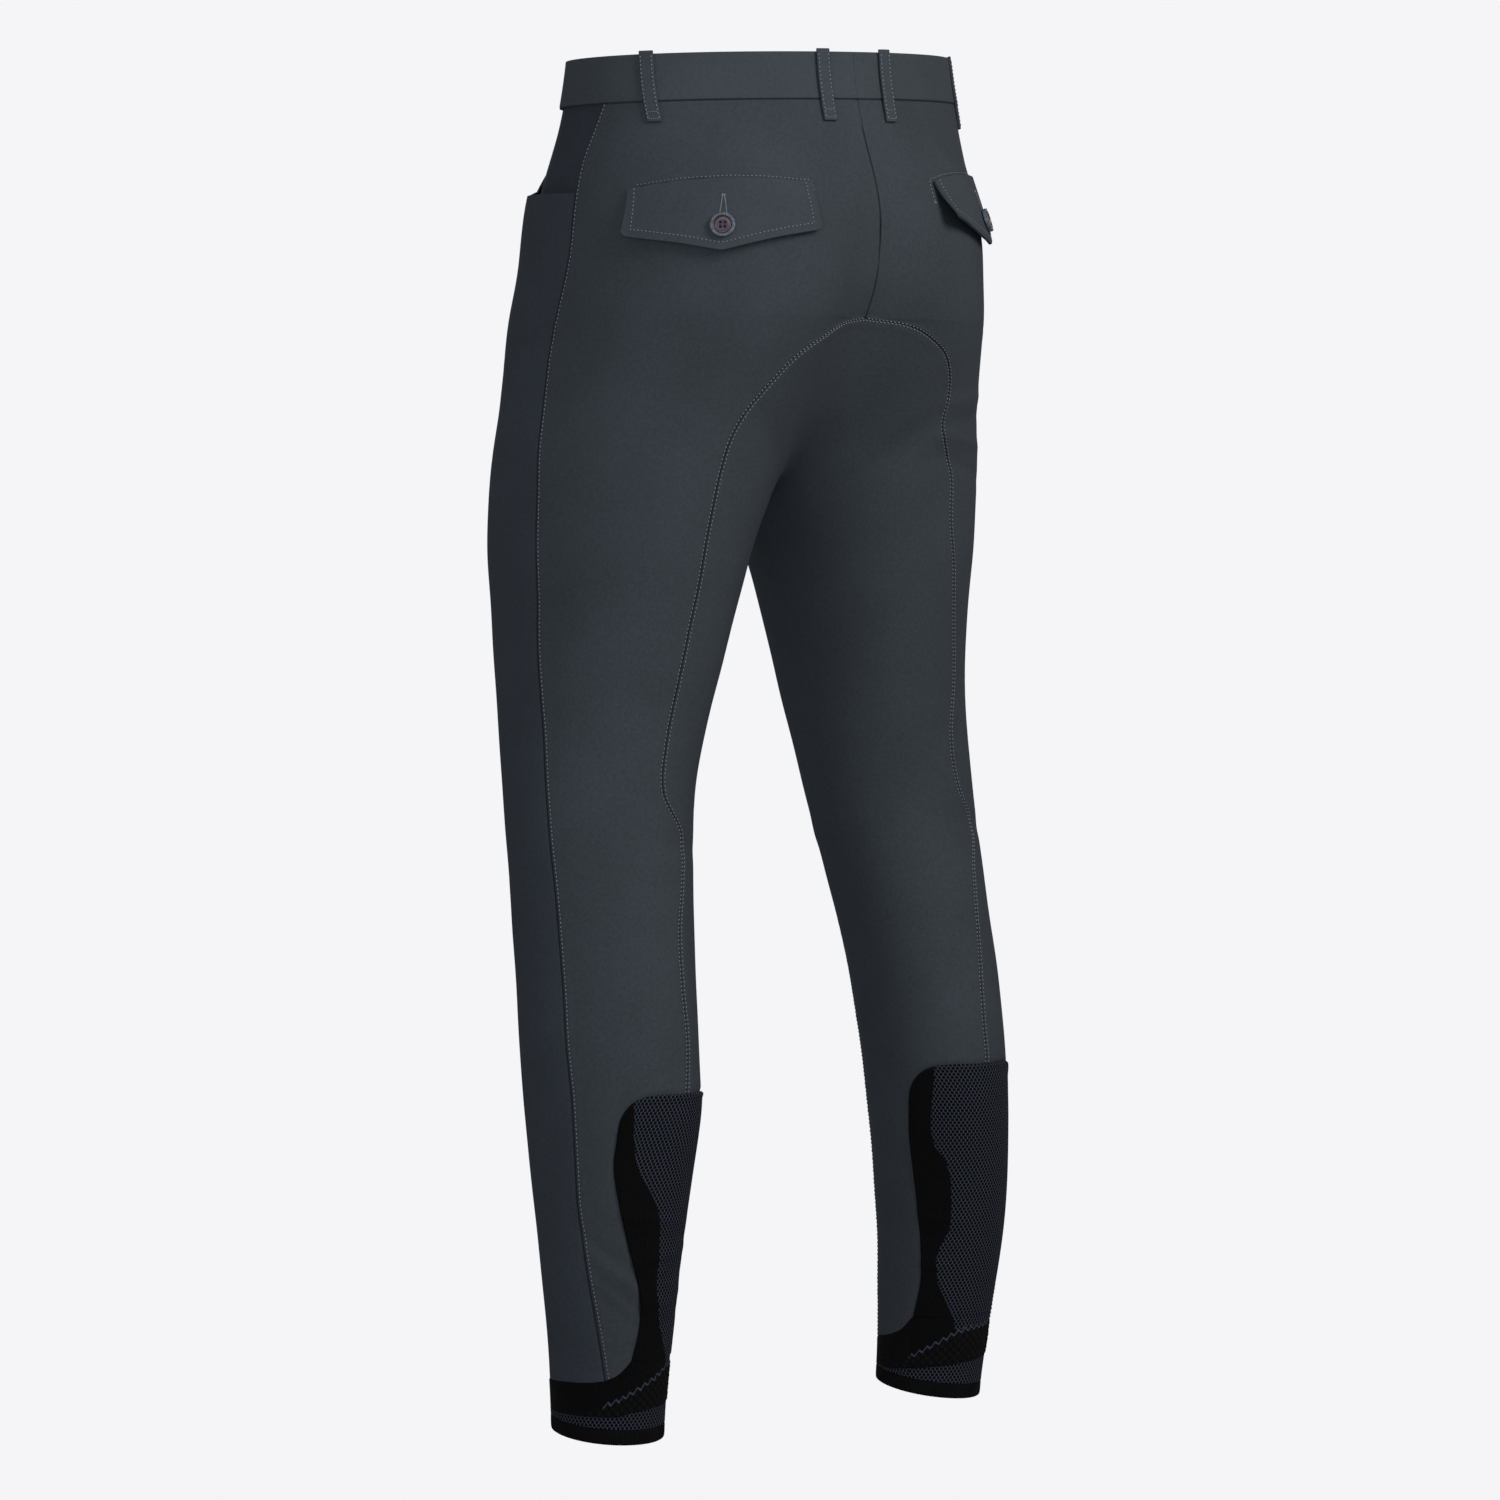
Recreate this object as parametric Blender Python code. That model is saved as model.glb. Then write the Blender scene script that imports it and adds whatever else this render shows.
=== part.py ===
"""Riding breeches, worn form with no wearer: stretch-jersey panels over a general figure.

Frame: metres, +Z up, origin in the middle of the waistband's ring. The wearer faces -Y and the
wearer's left is +X. Every cloth piece is a thin wall cut from one skin, so neighbours share
their seam lines and stand SEAM_GAP apart. A place on the skin is (angle, height): the angle goes
round a leg's own axis from the back (0) over the outer side (90) and the front (180) to the
inner side (270), in degrees. Heights and other table values are in millimetres.
"""
import functools

import bmesh
import bpy
import numpy as np
from mathutils import Matrix, Vector

MM = 0.001

# ---------------------------------------------------------------- driving dimensions
BAND_HEIGHT = 34.0 * MM
SEAM_GAP = 0.3 * MM
PANEL_WALL = 1.2 * MM
BAND_WALL = 2.6 * MM
BAND_LIFT = 0.4 * MM
FLAP_WALL = 2.2 * MM
KNIT_WALL = 1.8 * MM
HEM_WALL = 2.4 * MM
SITTING_GAP = 0.4 * MM            # what lies on a panel clears it by this much
SIDES = {"left": 1, "right": -1}

# The body and legs: one row for each level. Each leg is a tube of half ovals; left and right tubes
# are joined by a soft union whose width is blend, so the two together make the hips and seat.
SECTION_COLUMNS = ("height", "centre_x", "centre_y", "half_width", "depth_back", "depth_front",
                   "turn", "power_back", "power_front", "blend")
SECTIONS = (
    (25, 0, 2, 151, 109, 109, 0, 2.1, 2.1, 0),
    (0, 1, 2, 153, 111, 112, 0, 2.1, 2.1, 0),
    (-40, 12, 1, 147, 121, 118, 0, 2.1, 2.15, 8),
    (-67, 24, 0, 140, 133, 124, 0, 2.05, 2.2, 14),
    (-90, 33, 0, 135, 142, 128, 0, 1.95, 2.25, 20),
    (-120, 45, 0, 125, 148, 132, 0, 1.85, 2.25, 26),
    (-140, 49, -3, 123, 151, 132, 1, 1.82, 2.2, 30),
    (-167, 60, -10, 115, 153, 131, 2, 1.85, 2.15, 34),
    (-200, 70, -16, 109, 145, 124, 4, 1.9, 2.1, 40),
    (-235, 81, -20, 103, 132, 119, 6, 1.95, 2.05, 46),
    (-265, 92, -20, 98, 120, 116, 8, 2.0, 2.0, 48),
    (-295, 101, -20, 90, 114, 114, 10, 2.0, 2.0, 46),
    (-335, 111, -20, 81, 107, 107, 12, 2.0, 2.0, 40),
    (-375, 116, -20, 74, 99, 99, 14, 2.0, 2.0, 30),
    (-415, 121, -20, 69, 91.5, 91.5, 15, 2.0, 2.0, 20),
    (-455, 126.5, -19, 65.5, 83, 83, 16, 2.0, 2.0, 10),
    (-495, 132.5, -15.7, 63.2, 75.5, 75.5, 17, 2.0, 2.0, 5),
    (-535, 137, -10, 61, 71.3, 71.3, 18, 2.0, 2.0, 5),
    (-575, 141, -2, 58.3, 70, 70, 18, 2.0, 2.0, 5),
    (-615, 145, 6, 55.2, 70, 70, 18, 2.0, 2.0, 5),
    (-655, 148, 14, 53.4, 69.8, 69.8, 18, 2.0, 2.0, 5),
    (-695, 150, 19.5, 51.8, 70, 70, 18, 2.0, 2.0, 5),
    (-735, 151, 24.5, 50.2, 69.5, 69.5, 18, 2.0, 2.0, 5),
    (-775, 153, 26, 48.9, 63.5, 63.5, 18, 2.0, 2.0, 5),
    (-815, 154, 26.5, 47.7, 56.5, 56.5, 18, 2.0, 2.0, 5),
    (-855, 154, 25.5, 45.4, 51, 51, 18, 2.0, 2.0, 5),
    (-895, 152.3, 23, 42.8, 46.5, 46.5, 18, 2.0, 2.0, 5),
    (-935, 151, 19.8, 40, 43, 43, 18, 2.0, 2.0, 5),
    (-955, 150, 18, 39, 41.7, 41.7, 18, 2.0, 2.0, 5),
    (-985, 149, 16, 38.5, 41, 41, 18, 2.0, 2.0, 5),
)

# The largest folds: soft ridges (+) and troughs (-) that stand off the skin.
FOLD_COLUMNS = ("side", "angle", "height", "half_length", "half_width", "slope", "rise")
FOLDS = (
    ("right", 18, -228, 34, 5, 8, 1.5),
    ("right", 16, -243, 30, 4, 8, -1.3),
    ("right", 17, -258, 34, 5, -6, 1.4),
    ("right", 14, -276, 36, 5, -14, -1.2),
    ("left", -14, -262, 46, 8, 40, -1.6),
    ("right", -16, -262, 46, 8, 40, -1.6),
    ("left", -16, -548, 30, 7, 12, -1.3),
    ("right", 20, -540, 30, 7, -12, -1.3),
    ("left", 20, -860, 30, 6, 35, 1.0),
    ("left", 196, -560, 42, 9, 20, 1.4),
    ("right", 196, -560, 42, 9, 20, 1.4),
    ("left", 204, -262, 46, 8, 38, -1.6),
    ("right", 204, -262, 46, 8, 38, -1.6),
)

# Row levels of the skin's grid, at the back seam, the side seam, the front seam and mid inner leg.
# Rows above SEAT_ROW have no inner panel; SEAT_ROW itself runs under the crotch from seam to seam.
ROW_COLUMNS = ("back", "side", "front", "inner")
ROWS = (
    (-17, -17, -17, None),
    (-40, -39, -48, None),
    (-66, -61, -84, None),
    (-93, -84, -125, None),
    (-120, -112, -160, None),
    (-147, -140, -198, None),
    (-172, -172, -235, None),
    (-176, -186, -243, -304),
    (-186, -202, -253, -311),
    (-200, -221, -267, -320),
    (-222, -244, -285, -332),
    (-250, -270, -305, -347),
    (-282, -298, -328, -364),
    (-318, -330, -354, -384),
    (-356, -366, -382, -407),
    (-396, -402, -414, -433),
    (-436, -440, -448, -462),
    (-476, -478, -484, -493),
    (-512, -512, -516, -522),
    (-542, -542, -545, -548),
    (-574, -574, -576, -577),
    (-610, -610, -610, -610),
    (-648, -648, -648, -648),
    (-685, -685, -685, -685),
    (-720, -742, -742, -742),
    (-772, -772, -772, -772),
    (-798, -798, -798, -798),
    (-826, -826, -826, -826),
    (-856, -856, -856, -856),
    (-884, -884, -884, -884),
    (-911, -927, -931, -926),
)
POCKET_ROW = 3
SEAT_ROW = 6
TONGUE_ROW = 24
ANKLE_ROW = len(ROWS) - 1
EVEN_AFTER = 7                    # inner columns are evenly spread this many rows under the seat
# The left leg's knit sits a little lower than the right one's, from the calf down.
KNIT_DROP = {"left": 3.0 * MM, "right": -3.0 * MM}
KNIT_DROP_FROM, KNIT_DROP_FULL = -0.640, -0.720

# Stations of a row, in columns: the number of cells from each seam or edge to the next.
CELLS = {"back_to_tongue": 4, "tongue_to_side": 5, "side_to_front": 10,
         "front_to_tongue": 6, "tongue_to_back": 5}
TONGUE_OUT = CELLS["back_to_tongue"]
SIDE = TONGUE_OUT + CELLS["tongue_to_side"]
FRONT = SIDE + CELLS["side_to_front"]
TONGUE_IN = FRONT + CELLS["front_to_tongue"]
ROUND = TONGUE_IN + CELLS["tongue_to_back"]
POCKET_CELLS = 5

# Seam lines: height and angle.
SEAM_COLUMNS = ("height", "angle")
SEAT_SEAM = {
    "left": ((-176, -16), (-186, -9), (-200, -2.5), (-222, 2), (-250, 5.5), (-282, 4.5), (-318, 2),
             (-356, 0), (-436, -0.5), (-495, -1), (-512, -3.5), (-530, -11), (-545, -22), (-558, -24),
             (-576, -19), (-610, -15), (-648, -15), (-685, -17), (-720, -14), (-800, -10),
             (-911, -22)),
    "right": ((-176, -12), (-186, -4), (-200, 2), (-222, 4), (-240, 2.5), (-252, 1.5), (-276, 6),
              (-298, 1), (-318, 3), (-374, 6), (-440, 9.5), (-486, 4.5), (-505, 5.5), (-527, 16),
              (-540, 22), (-560, 15), (-588, 11), (-610, 6), (-648, 0), (-685, -3), (-720, -4),
              (-800, -8), (-911, -22)),
}
SIDE_SEAM = ((-17, 83.5), (-60, 88), (-100, 89.5), (-198, 89), (-240, 86), (-294, 84.5), (-408, 84),
             (-454, 79), (-486, 74.5), (-586, 71), (-692, 72), (-742, 70), (-798, 66), (-856, 55),
             (-927, 40))
FRONT_SEAM = ((-243, 208), (-260, 203), (-300, 198), (-360, 197), (-450, 201), (-560, 207),
              (-685, 214), (-742, 217), (-856, 222), (-931, 222))
TONGUE_EDGE_OUT = {
    "left": ((-745, 31), (-757, 35), (-778, 34.5), (-798, 30), (-816, 25.5), (-834, 20),
             (-856, 12.5), (-884, 9), (-911, 15)),
    "right": ((-745, 48), (-757, 54), (-778, 55), (-798, 53), (-816, 50), (-834, 46.5), (-856, 42),
              (-884, 38.5), (-911, 36)),
}
TONGUE_EDGE_IN = ((-745, 301), (-757, 297), (-778, 296), (-798, 297.5), (-836, 301), (-860, 303.5),
                  (-892, 305), (-911, 299))
TONGUE_TOP = -720 * MM
TONGUE_CORNER = 30 * MM           # how far the tongue's rounded corners drop below its top
TONGUE_LEVEL_TO = 0.45            # its top is level over this share of the way to a corner
TONGUE_CORNER_BUNCH = 0.8         # below 1, the top's columns stand closer towards a corner
ANKLE_EDGE = ((0, 911), (0.16, 921), (0.4, 927), (1, 932))

# Front pocket: its mouth runs level from the side seam, then turns up to the waistband in a
# quarter of a squarish oval.
POCKET_REACH = 112 * MM
POCKET_DROP = 66 * MM
POCKET_POWER = 7
MOUTH_GAPE = 7.0 * MM
MOUTH_SLACK = 160 * MM            # the panel lies flat again this far below the mouth
MOUTH_AHEAD = 1 / 3               # and this share of the way from its corner to the front seam
MOUTH_EASE, SLACK_EASE = 1.5, 1.1  # powers of the fall from the mouth, forwards and downwards
MOUTH_COLUMNS = ("place", "share")  # place: 0 side seam, 0.5 the mouth's corner, 1 waistband
MOUTH_SHAPE = ((0, 0), (0.1, 0.5), (0.2, 0.85), (0.3, 1), (0.36, 0.95), (0.42, 0.72), (0.5, 0.35),
               (0.67, 0.12), (1, 0))
FACING_SET_IN = 2.6 * MM
FACING_OVERLAP = 30 * MM
FACING_ROWS, FACING_COLUMNS = 5, 9

# Back flaps. Their ends are arc lengths from the centre back, at the top fold and at the lower
# edge, which stands off the panel: by stand_off at its point, by side_share of that at its ends,
# and less higher up, by the power curl. The top fold is a table of arc lengths and heights in
# millimetres. One flap's inner corner, over the first corner_reach of its width, curls away.
FLAP = {"from": 57 * MM, "to": 192 * MM, "from_below": 58 * MM, "to_below": 200 * MM,
        "side_drop": 34 * MM, "point_drop": 51.5 * MM, "corner": 5 * MM, "corner_share": 0.6,
        "stand_off": 5 * MM, "side_share": 0.55, "curl": 1.4, "corner_reach": 0.38}
FLAP_TOP = {
    "left": ((57, -79), (88, -76.7), (115, -76.3), (150, -78), (192, -83)),
    "right": ((57, -73.8), (66, -70), (90, -66.5), (120, -64.5), (150, -64), (192, -67)),
}
FLAP_CORNER_COLUMNS = ("lift", "rise")
FLAP_CORNER = {"left": (0, 0), "right": (10.4 * MM, 5 * MM)}
FLAP_ACROSS = (0, 0.04, 0.14, 0.26, 0.38, 0.5, 0.62, 0.74, 0.86, 0.96, 1)
FLAP_DOWN = (0, 0.35, 0.7, 1.0)
BUTTON = {"radius": 8.8 * MM, "rim": 1.5 * MM, "height": 2.9 * MM, "dish": 1.2 * MM,
          "above_point": 17.5 * MM, "facets": 24}
# A button's turned profile from its back to its dish: each ring's radius is a share of the
# button's radius less some rims, and its height a share of the height less some dishes.
BUTTON_COLUMNS = ("radius", "rims", "height", "dishes")
BUTTON_PROFILE = ((0, 0, 0, 0), (0.72, 0, 0, 0), (1, 0, 0.45, 0), (0.98, 0, 0.8, 0),
                  (1, 0.5, 1, 0), (1, 1.3, 0.9, 0), (1, 2.2, 1, 1), (0, 0, 1, 1))
WAIST_OVERLAP = 40 * MM
WAIST_OVERLAP_GAP = 0.6 * MM
OVERLAP_STATIONS = (0.04, 0.5, 1.0)
WAIST_BUTTON_PLACE = 0.62         # share of the way along the overlap

# Belt loops, by arc length from the centre back or, below zero, from the centre front.
LOOPS = {"back": 28 * MM, "side": 158 * MM, "front": -72 * MM}
LOOP = {"width": 11 * MM, "top": 19 * MM, "bottom": -33 * MM, "wall": 2.0 * MM, "bow": 3.0 * MM,
        "rows": 9, "spring": 2.2, "over_seam": 6 * MM}

# Ankle cuff: quilted diamonds between the cloth's edge and the ribbed hem.
DIAMONDS_PER_CELL = 3
QUILT_ROWS = 8
QUILT_RISE = 0.5 * MM
CUFF_END = {"left": -960.0 * MM, "right": -954.5 * MM}
HEM_HEIGHT = 11.5 * MM
# The hem hangs lower at the back by this much; the right one is turned a little outwards.
HEM_TILT = {"left": 9.0 * MM, "right": 12.0 * MM}
HEM_TURN = {"left": 0.0, "right": 30.0}

COLOURS = {
    "jersey": ((0.040, 0.047, 0.056), 0.82),
    "band": ((0.052, 0.060, 0.070), 0.78),
    "knit": ((0.009, 0.010, 0.014), 0.90),
    "hem": ((0.006, 0.006, 0.007), 0.92),
    "button": ((0.030, 0.036, 0.050), 0.30),
}


# ---------------------------------------------------------------- tables
def smooth_table(rows, columns):
    """Return a reader of the table: name and level in metres give a value on a smooth curve."""
    data = np.array(rows, float)[::-1]
    level = data[:, 0] * MM
    values = {name: data[:, k] for k, name in enumerate(columns)}
    slopes = {name: np.gradient(value, level) for name, value in values.items()}

    def read(name, height):
        height = np.clip(height, level[0], level[-1])
        k = np.clip(np.searchsorted(level, height) - 1, 0, len(level) - 2)
        width = level[k + 1] - level[k]
        t = (height - level[k]) / width
        value, slope = values[name], slopes[name]
        return ((1 + 2 * t) * (1 - t) ** 2 * value[k] + t * (1 - t) ** 2 * width * slope[k]
                + t * t * (3 - 2 * t) * value[k + 1] + t * t * (t - 1) * width * slope[k + 1])
    return read


def seam_angle(table, height):
    """Angle of a seam table at a height in metres, in radians."""
    seam = dict(zip(SEAM_COLUMNS, np.array(table, float)[::-1].T))
    return np.radians(np.interp(height, seam["height"] * MM, seam["angle"]))


section = smooth_table(SECTIONS, SECTION_COLUMNS)


# ---------------------------------------------------------------- the skin
RAY_REACH = 0.36                  # further than any point of the skin from a leg's axis
HALVINGS = 40                     # bisection steps along a ray
GIRTH_SAMPLES, FORK_SAMPLES = 181, 121
CROTCH_FLOOR = -0.34              # below the fork between the legs


def leg_distance(x, y, height, side):
    """Signed distance, along a ray from its axis, to one leg's tube."""
    dx = side * x - section("centre_x", height) * MM
    dy = y - section("centre_y", height) * MM
    turn = np.radians(section("turn", height))
    across = dx * np.cos(turn) + dy * np.sin(turn)
    along = -dx * np.sin(turn) + dy * np.cos(turn)
    at_back = along > 0
    depth = np.where(at_back, section("depth_back", height), section("depth_front", height)) * MM
    power = np.where(at_back, section("power_back", height), section("power_front", height))
    width = section("half_width", height) * MM
    gauge = (np.abs(across / width) ** power + np.abs(along / depth) ** power) ** (1 / power) + 1e-9
    return np.hypot(across, along) * (1 - 1 / gauge)


def skin_distance(x, y, height):
    """Soft union of the two legs' tubes: below zero inside the figure."""
    left = leg_distance(x, y, height, 1)
    right = leg_distance(x, y, height, -1)
    blend = np.maximum(section("blend", height) * MM, 0.1 * MM)
    near = np.maximum(blend - np.abs(left - right), 0) / blend
    return np.minimum(left, right) - near * near * blend / 4


def fold_rise(side, angle, height):
    """How far the folds move the skin outwards at a place."""
    rise = np.zeros_like(height)
    for row in FOLDS:
        fold = dict(zip(FOLD_COLUMNS, row))
        if SIDES[fold["side"]] != side:
            continue
        turn = (np.degrees(angle) - fold["angle"] + 180) % 360 - 180
        across = np.radians(turn) * section("half_width", height) * MM
        up = height - fold["height"] * MM
        slope = np.radians(fold["slope"])
        along = across * np.cos(slope) + up * np.sin(slope)
        over = -across * np.sin(slope) + up * np.cos(slope)
        rise += fold["rise"] * MM * np.exp(-(along / (fold["half_length"] * MM)) ** 2
                                           - (over / (fold["half_width"] * MM)) ** 2)
    return rise


# The waist sits a little aslant on the body: higher on the right hip. The rise grows with x and
# y, is whole at the waistband and is gone below the hip bones.
WAIST_TILT = {"by_x": -0.0415, "by_y": -0.015, "lift": 3.4 * MM, "from": -60 * MM, "whole": -17 * MM}


def waist_rise(point, height):
    """How far the slant of the waist lifts points of the skin."""
    share = np.clip((height - WAIST_TILT["from"]) / (WAIST_TILT["whole"] - WAIST_TILT["from"]), 0, 1)
    slant = WAIST_TILT["by_x"] * point[..., 0] + WAIST_TILT["by_y"] * point[..., 1]
    return (slant + WAIST_TILT["lift"]) * share * share * (3 - 2 * share)


def skin_point(side, angle, height, folds=True):
    """Point and outward normal of the skin at (angle, height), for arrays of both."""
    angle, height = np.broadcast_arrays(np.asarray(angle, float), np.asarray(height, float))
    start_x = side * section("centre_x", height) * MM
    start_y = section("centre_y", height) * MM
    way_x, way_y = side * np.sin(angle), np.cos(angle)
    near = np.zeros_like(height)
    far = np.full_like(height, RAY_REACH)
    # A ray that meets the mid plane outside the figure ends there, short of the other leg.
    inward = side * way_x < -1e-6
    to_plane = np.where(inward, np.abs(start_x) / np.maximum(np.abs(way_x), 1e-6), RAY_REACH)
    plane_distance = skin_distance(start_x + way_x * to_plane, start_y + way_y * to_plane, height)
    outside = plane_distance > -0.3 * MM
    far = np.where(inward & outside, np.minimum(to_plane, far), far)
    for _ in range(HALVINGS):
        middle = (near + far) / 2
        inside = skin_distance(start_x + way_x * middle, start_y + way_y * middle, height) < 0
        near = np.where(inside, middle, near)
        far = np.where(inside, far, middle)
    point = np.stack([start_x + way_x * near, start_y + way_y * near, height], -1)
    normal = skin_normal(point)
    if folds:
        point = point + normal * fold_rise(side, angle, height)[..., None]
    point[..., 2] += waist_rise(point, height)
    return point, normal


def skin_normal(point):
    """Outward normal of the skin from differences of its distance."""
    step = 0.4 * MM
    x, y, z = point[..., 0], point[..., 1], point[..., 2]
    slope = np.stack([skin_distance(x + step, y, z) - skin_distance(x - step, y, z),
                      skin_distance(x, y + step, z) - skin_distance(x, y - step, z),
                      skin_distance(x, y, z + step) - skin_distance(x, y, z - step)], -1)
    return slope / np.linalg.norm(slope, axis=-1, keepdims=True)


@functools.lru_cache(maxsize=None)
def centre_angle(height, front):
    """Angle at which the skin meets the mid plane at a level, behind or in front."""
    near, far = 0.0, (-0.30 if front else 0.30)
    for _ in range(HALVINGS):
        middle = (near + far) / 2
        if skin_distance(0.0, middle, height) < 0:
            near = middle
        else:
            far = middle
    axis_x, axis_y = (float(section(name, height)) * MM for name in ("centre_x", "centre_y"))
    angle = np.arctan2(-axis_x, near - axis_y)
    return angle + 2 * np.pi if front else angle


@functools.lru_cache(maxsize=None)
def girth_table(side, height):
    """Angles round one half at a level and the arc length from the centre back to each."""
    angles = np.linspace(centre_angle(height, False), centre_angle(height, True), GIRTH_SAMPLES)
    points = skin_point(side, angles, np.full_like(angles, height), folds=False)[0]
    steps = np.linalg.norm(np.diff(points, axis=0), axis=1)
    return angles, np.concatenate([[0], np.cumsum(steps)])


def arc_angle(side, height, arc):
    """Angle at an arc length from the centre back or, below zero, short of the centre front."""
    angles, lengths = girth_table(side, float(height))
    return np.interp(arc if arc >= 0 else lengths[-1] + arc, lengths, angles)


# ---------------------------------------------------------------- the grid of one half
def knit_drop(name, height):
    """Extra drop of a leg's lower rows, eased in along the calf."""
    share = np.clip((KNIT_DROP_FROM - height) / (KNIT_DROP_FROM - KNIT_DROP_FULL), 0, 1)
    return height - KNIT_DROP[name] * share


def crotch_height(angle):
    """Level at which a ray at this angle meets the mid plane on the skin."""
    high, low = SEAT_TOP, CROTCH_FLOOR
    for _ in range(HALVINGS):
        level = (high + low) / 2
        reach = section("centre_x", level) * MM / abs(np.sin(angle))
        y = section("centre_y", level) * MM + reach * np.cos(angle)
        if skin_distance(0.0, y, level) < 0:
            high = level
        else:
            low = level
    return (high + low) / 2


SEAT_TOP = ROWS[SEAT_ROW][0] * MM


def row_stations(name, row):
    """(angle, height) of a row at its stations, keyed by column number."""
    side = SIDES[name]
    levels = dict(zip(ROW_COLUMNS, ROWS[row]))
    back, at_side, front = (levels[place] * MM for place in ("back", "side", "front"))
    stations = {}
    if row <= SEAT_ROW:
        stations[0] = (centre_angle(back, False), back)
        stations[FRONT] = (centre_angle(front, True), front)
    else:
        stations[0] = (seam_angle(SEAT_SEAM[name], back), back)
        stations[FRONT] = (seam_angle(FRONT_SEAM, front), front)
    stations[SIDE] = (seam_angle(SIDE_SEAM, at_side), at_side)
    if row >= TONGUE_ROW:
        level = TONGUE_TOP - TONGUE_CORNER if row == TONGUE_ROW else back
        stations[TONGUE_OUT] = (seam_angle(TONGUE_EDGE_OUT[name], level), level)
        stations[TONGUE_IN] = (seam_angle(TONGUE_EDGE_IN, level), level)
    else:
        # Above the tongue its two edge columns keep the same share of the way between seams.
        goal = row_stations(name, TONGUE_ROW)
        share_out = (goal[TONGUE_OUT][0] - goal[0][0]) / (goal[SIDE][0] - goal[0][0])
        share_in = ((goal[TONGUE_IN][0] - goal[FRONT][0])
                    / (goal[0][0] + 2 * np.pi - goal[FRONT][0]))
        first, last = stations[0], stations[SIDE]
        stations[TONGUE_OUT] = tuple(a + (b - a) * share_out for a, b in zip(first, last))
        closing = (stations[0][0] + 2 * np.pi, stations[0][1])
        first = stations[FRONT]
        stations[TONGUE_IN] = tuple(a + (b - a) * share_in for a, b in zip(first, closing))
    stations[ROUND] = (stations[0][0] + 2 * np.pi, stations[0][1])
    return stations


def tongue_top_level(share):
    """Level of the tongue's top edge, from its middle (0) to its rounded corner (1)."""
    along = np.clip((share - TONGUE_LEVEL_TO) / (1 - TONGUE_LEVEL_TO), 0, 1)
    return TONGUE_TOP - TONGUE_CORNER * (1 - np.sqrt(1 - along ** 2))


def half_grid(name):
    """Angles and heights of every point of one half's skin, rows by columns."""
    angles = np.zeros((len(ROWS), ROUND + 1))
    heights = np.zeros_like(angles)
    columns = sorted((0, TONGUE_OUT, SIDE, FRONT, TONGUE_IN, ROUND))
    for row in range(len(ROWS)):
        stations = row_stations(name, row)
        for start, end in zip(columns[:-1], columns[1:]):
            share = np.linspace(0, 1, end - start + 1)
            if row == TONGUE_ROW and end == TONGUE_OUT:
                share = np.sin(share * np.pi / 2) ** TONGUE_CORNER_BUNCH
            if row == TONGUE_ROW and start == TONGUE_IN:
                share = 1 - np.sin((1 - share) * np.pi / 2) ** TONGUE_CORNER_BUNCH
            (angle_0, height_0), (angle_1, height_1) = stations[start], stations[end]
            angles[row, start:end + 1] = angle_0 + (angle_1 - angle_0) * share
            heights[row, start:end + 1] = height_0 + (height_1 - height_0) * share
            if row == TONGUE_ROW and end == TONGUE_OUT:
                heights[row, start:end + 1] = tongue_top_level(share)
            if row == TONGUE_ROW and start == TONGUE_IN:
                heights[row, start:end + 1] = tongue_top_level(1 - share)
        if row == ANKLE_ROW:
            ease_ankle_edge(heights[row])
    sag_inner_leg(angles, heights)
    shape_pocket(name, angles, heights)
    heights[SEAT_ROW + 1:] = knit_drop(name, heights[SEAT_ROW + 1:])
    return angles, heights


def ease_ankle_edge(heights):
    """The cloth's lowest edge leaves the tongue's foot in a fillet and then runs level."""
    share, level = np.array(ANKLE_EDGE).T
    for start, end in ((TONGUE_OUT, FRONT), (TONGUE_IN, FRONT)):
        step = 1 if end > start else -1
        columns = np.arange(start, end + step, step)
        along = np.linspace(0, 1, len(columns))
        heights[columns] = -np.interp(along, share, level) * MM


def sag_inner_leg(angles, heights):
    """Rows under the crotch hang from their two seams along the figure's fork."""
    columns = np.arange(FRONT, ROUND + 1)
    even = (columns - FRONT) / (ROUND - FRONT)
    first, last = angles[SEAT_ROW, FRONT], angles[SEAT_ROW, ROUND]
    fine = np.linspace(first, last, FORK_SAMPLES)
    level = np.array([crotch_height(angle) for angle in fine])
    level[0], level[-1] = heights[SEAT_ROW, FRONT], heights[SEAT_ROW, ROUND]
    y = section("centre_y", level) * MM + (section("centre_x", level) * MM
                                           / np.abs(np.sin(fine)) * np.cos(fine))
    length = np.concatenate([[0], np.cumsum(np.hypot(np.diff(y), np.diff(level)))])
    fork_angle = np.interp(even * length[-1], length, fine)
    fork = np.interp(fork_angle, fine, level)
    fork_share = (fork_angle - first) / (last - first)
    sag = fork - (fork[0] + (fork[-1] - fork[0]) * fork_share)
    deepest = np.argmin(fork)
    angles[SEAT_ROW, columns] = fork_angle
    heights[SEAT_ROW, columns] = fork
    for row in range(SEAT_ROW + 1, TONGUE_ROW):
        ease = min((row - SEAT_ROW) / EVEN_AFTER, 1)
        share = fork_share * (1 - ease) + even * ease
        ends = heights[row, FRONT], heights[row, ROUND]
        straight = ends[0] + (ends[1] - ends[0]) * share
        drop = ROWS[row][ROW_COLUMNS.index("inner")] * MM - straight[deepest]
        heights[row, columns] = straight + sag / sag[deepest] * drop
        first, last = angles[row, FRONT], angles[row, ROUND]
        angles[row, columns] = first + (last - first) * share


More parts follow.
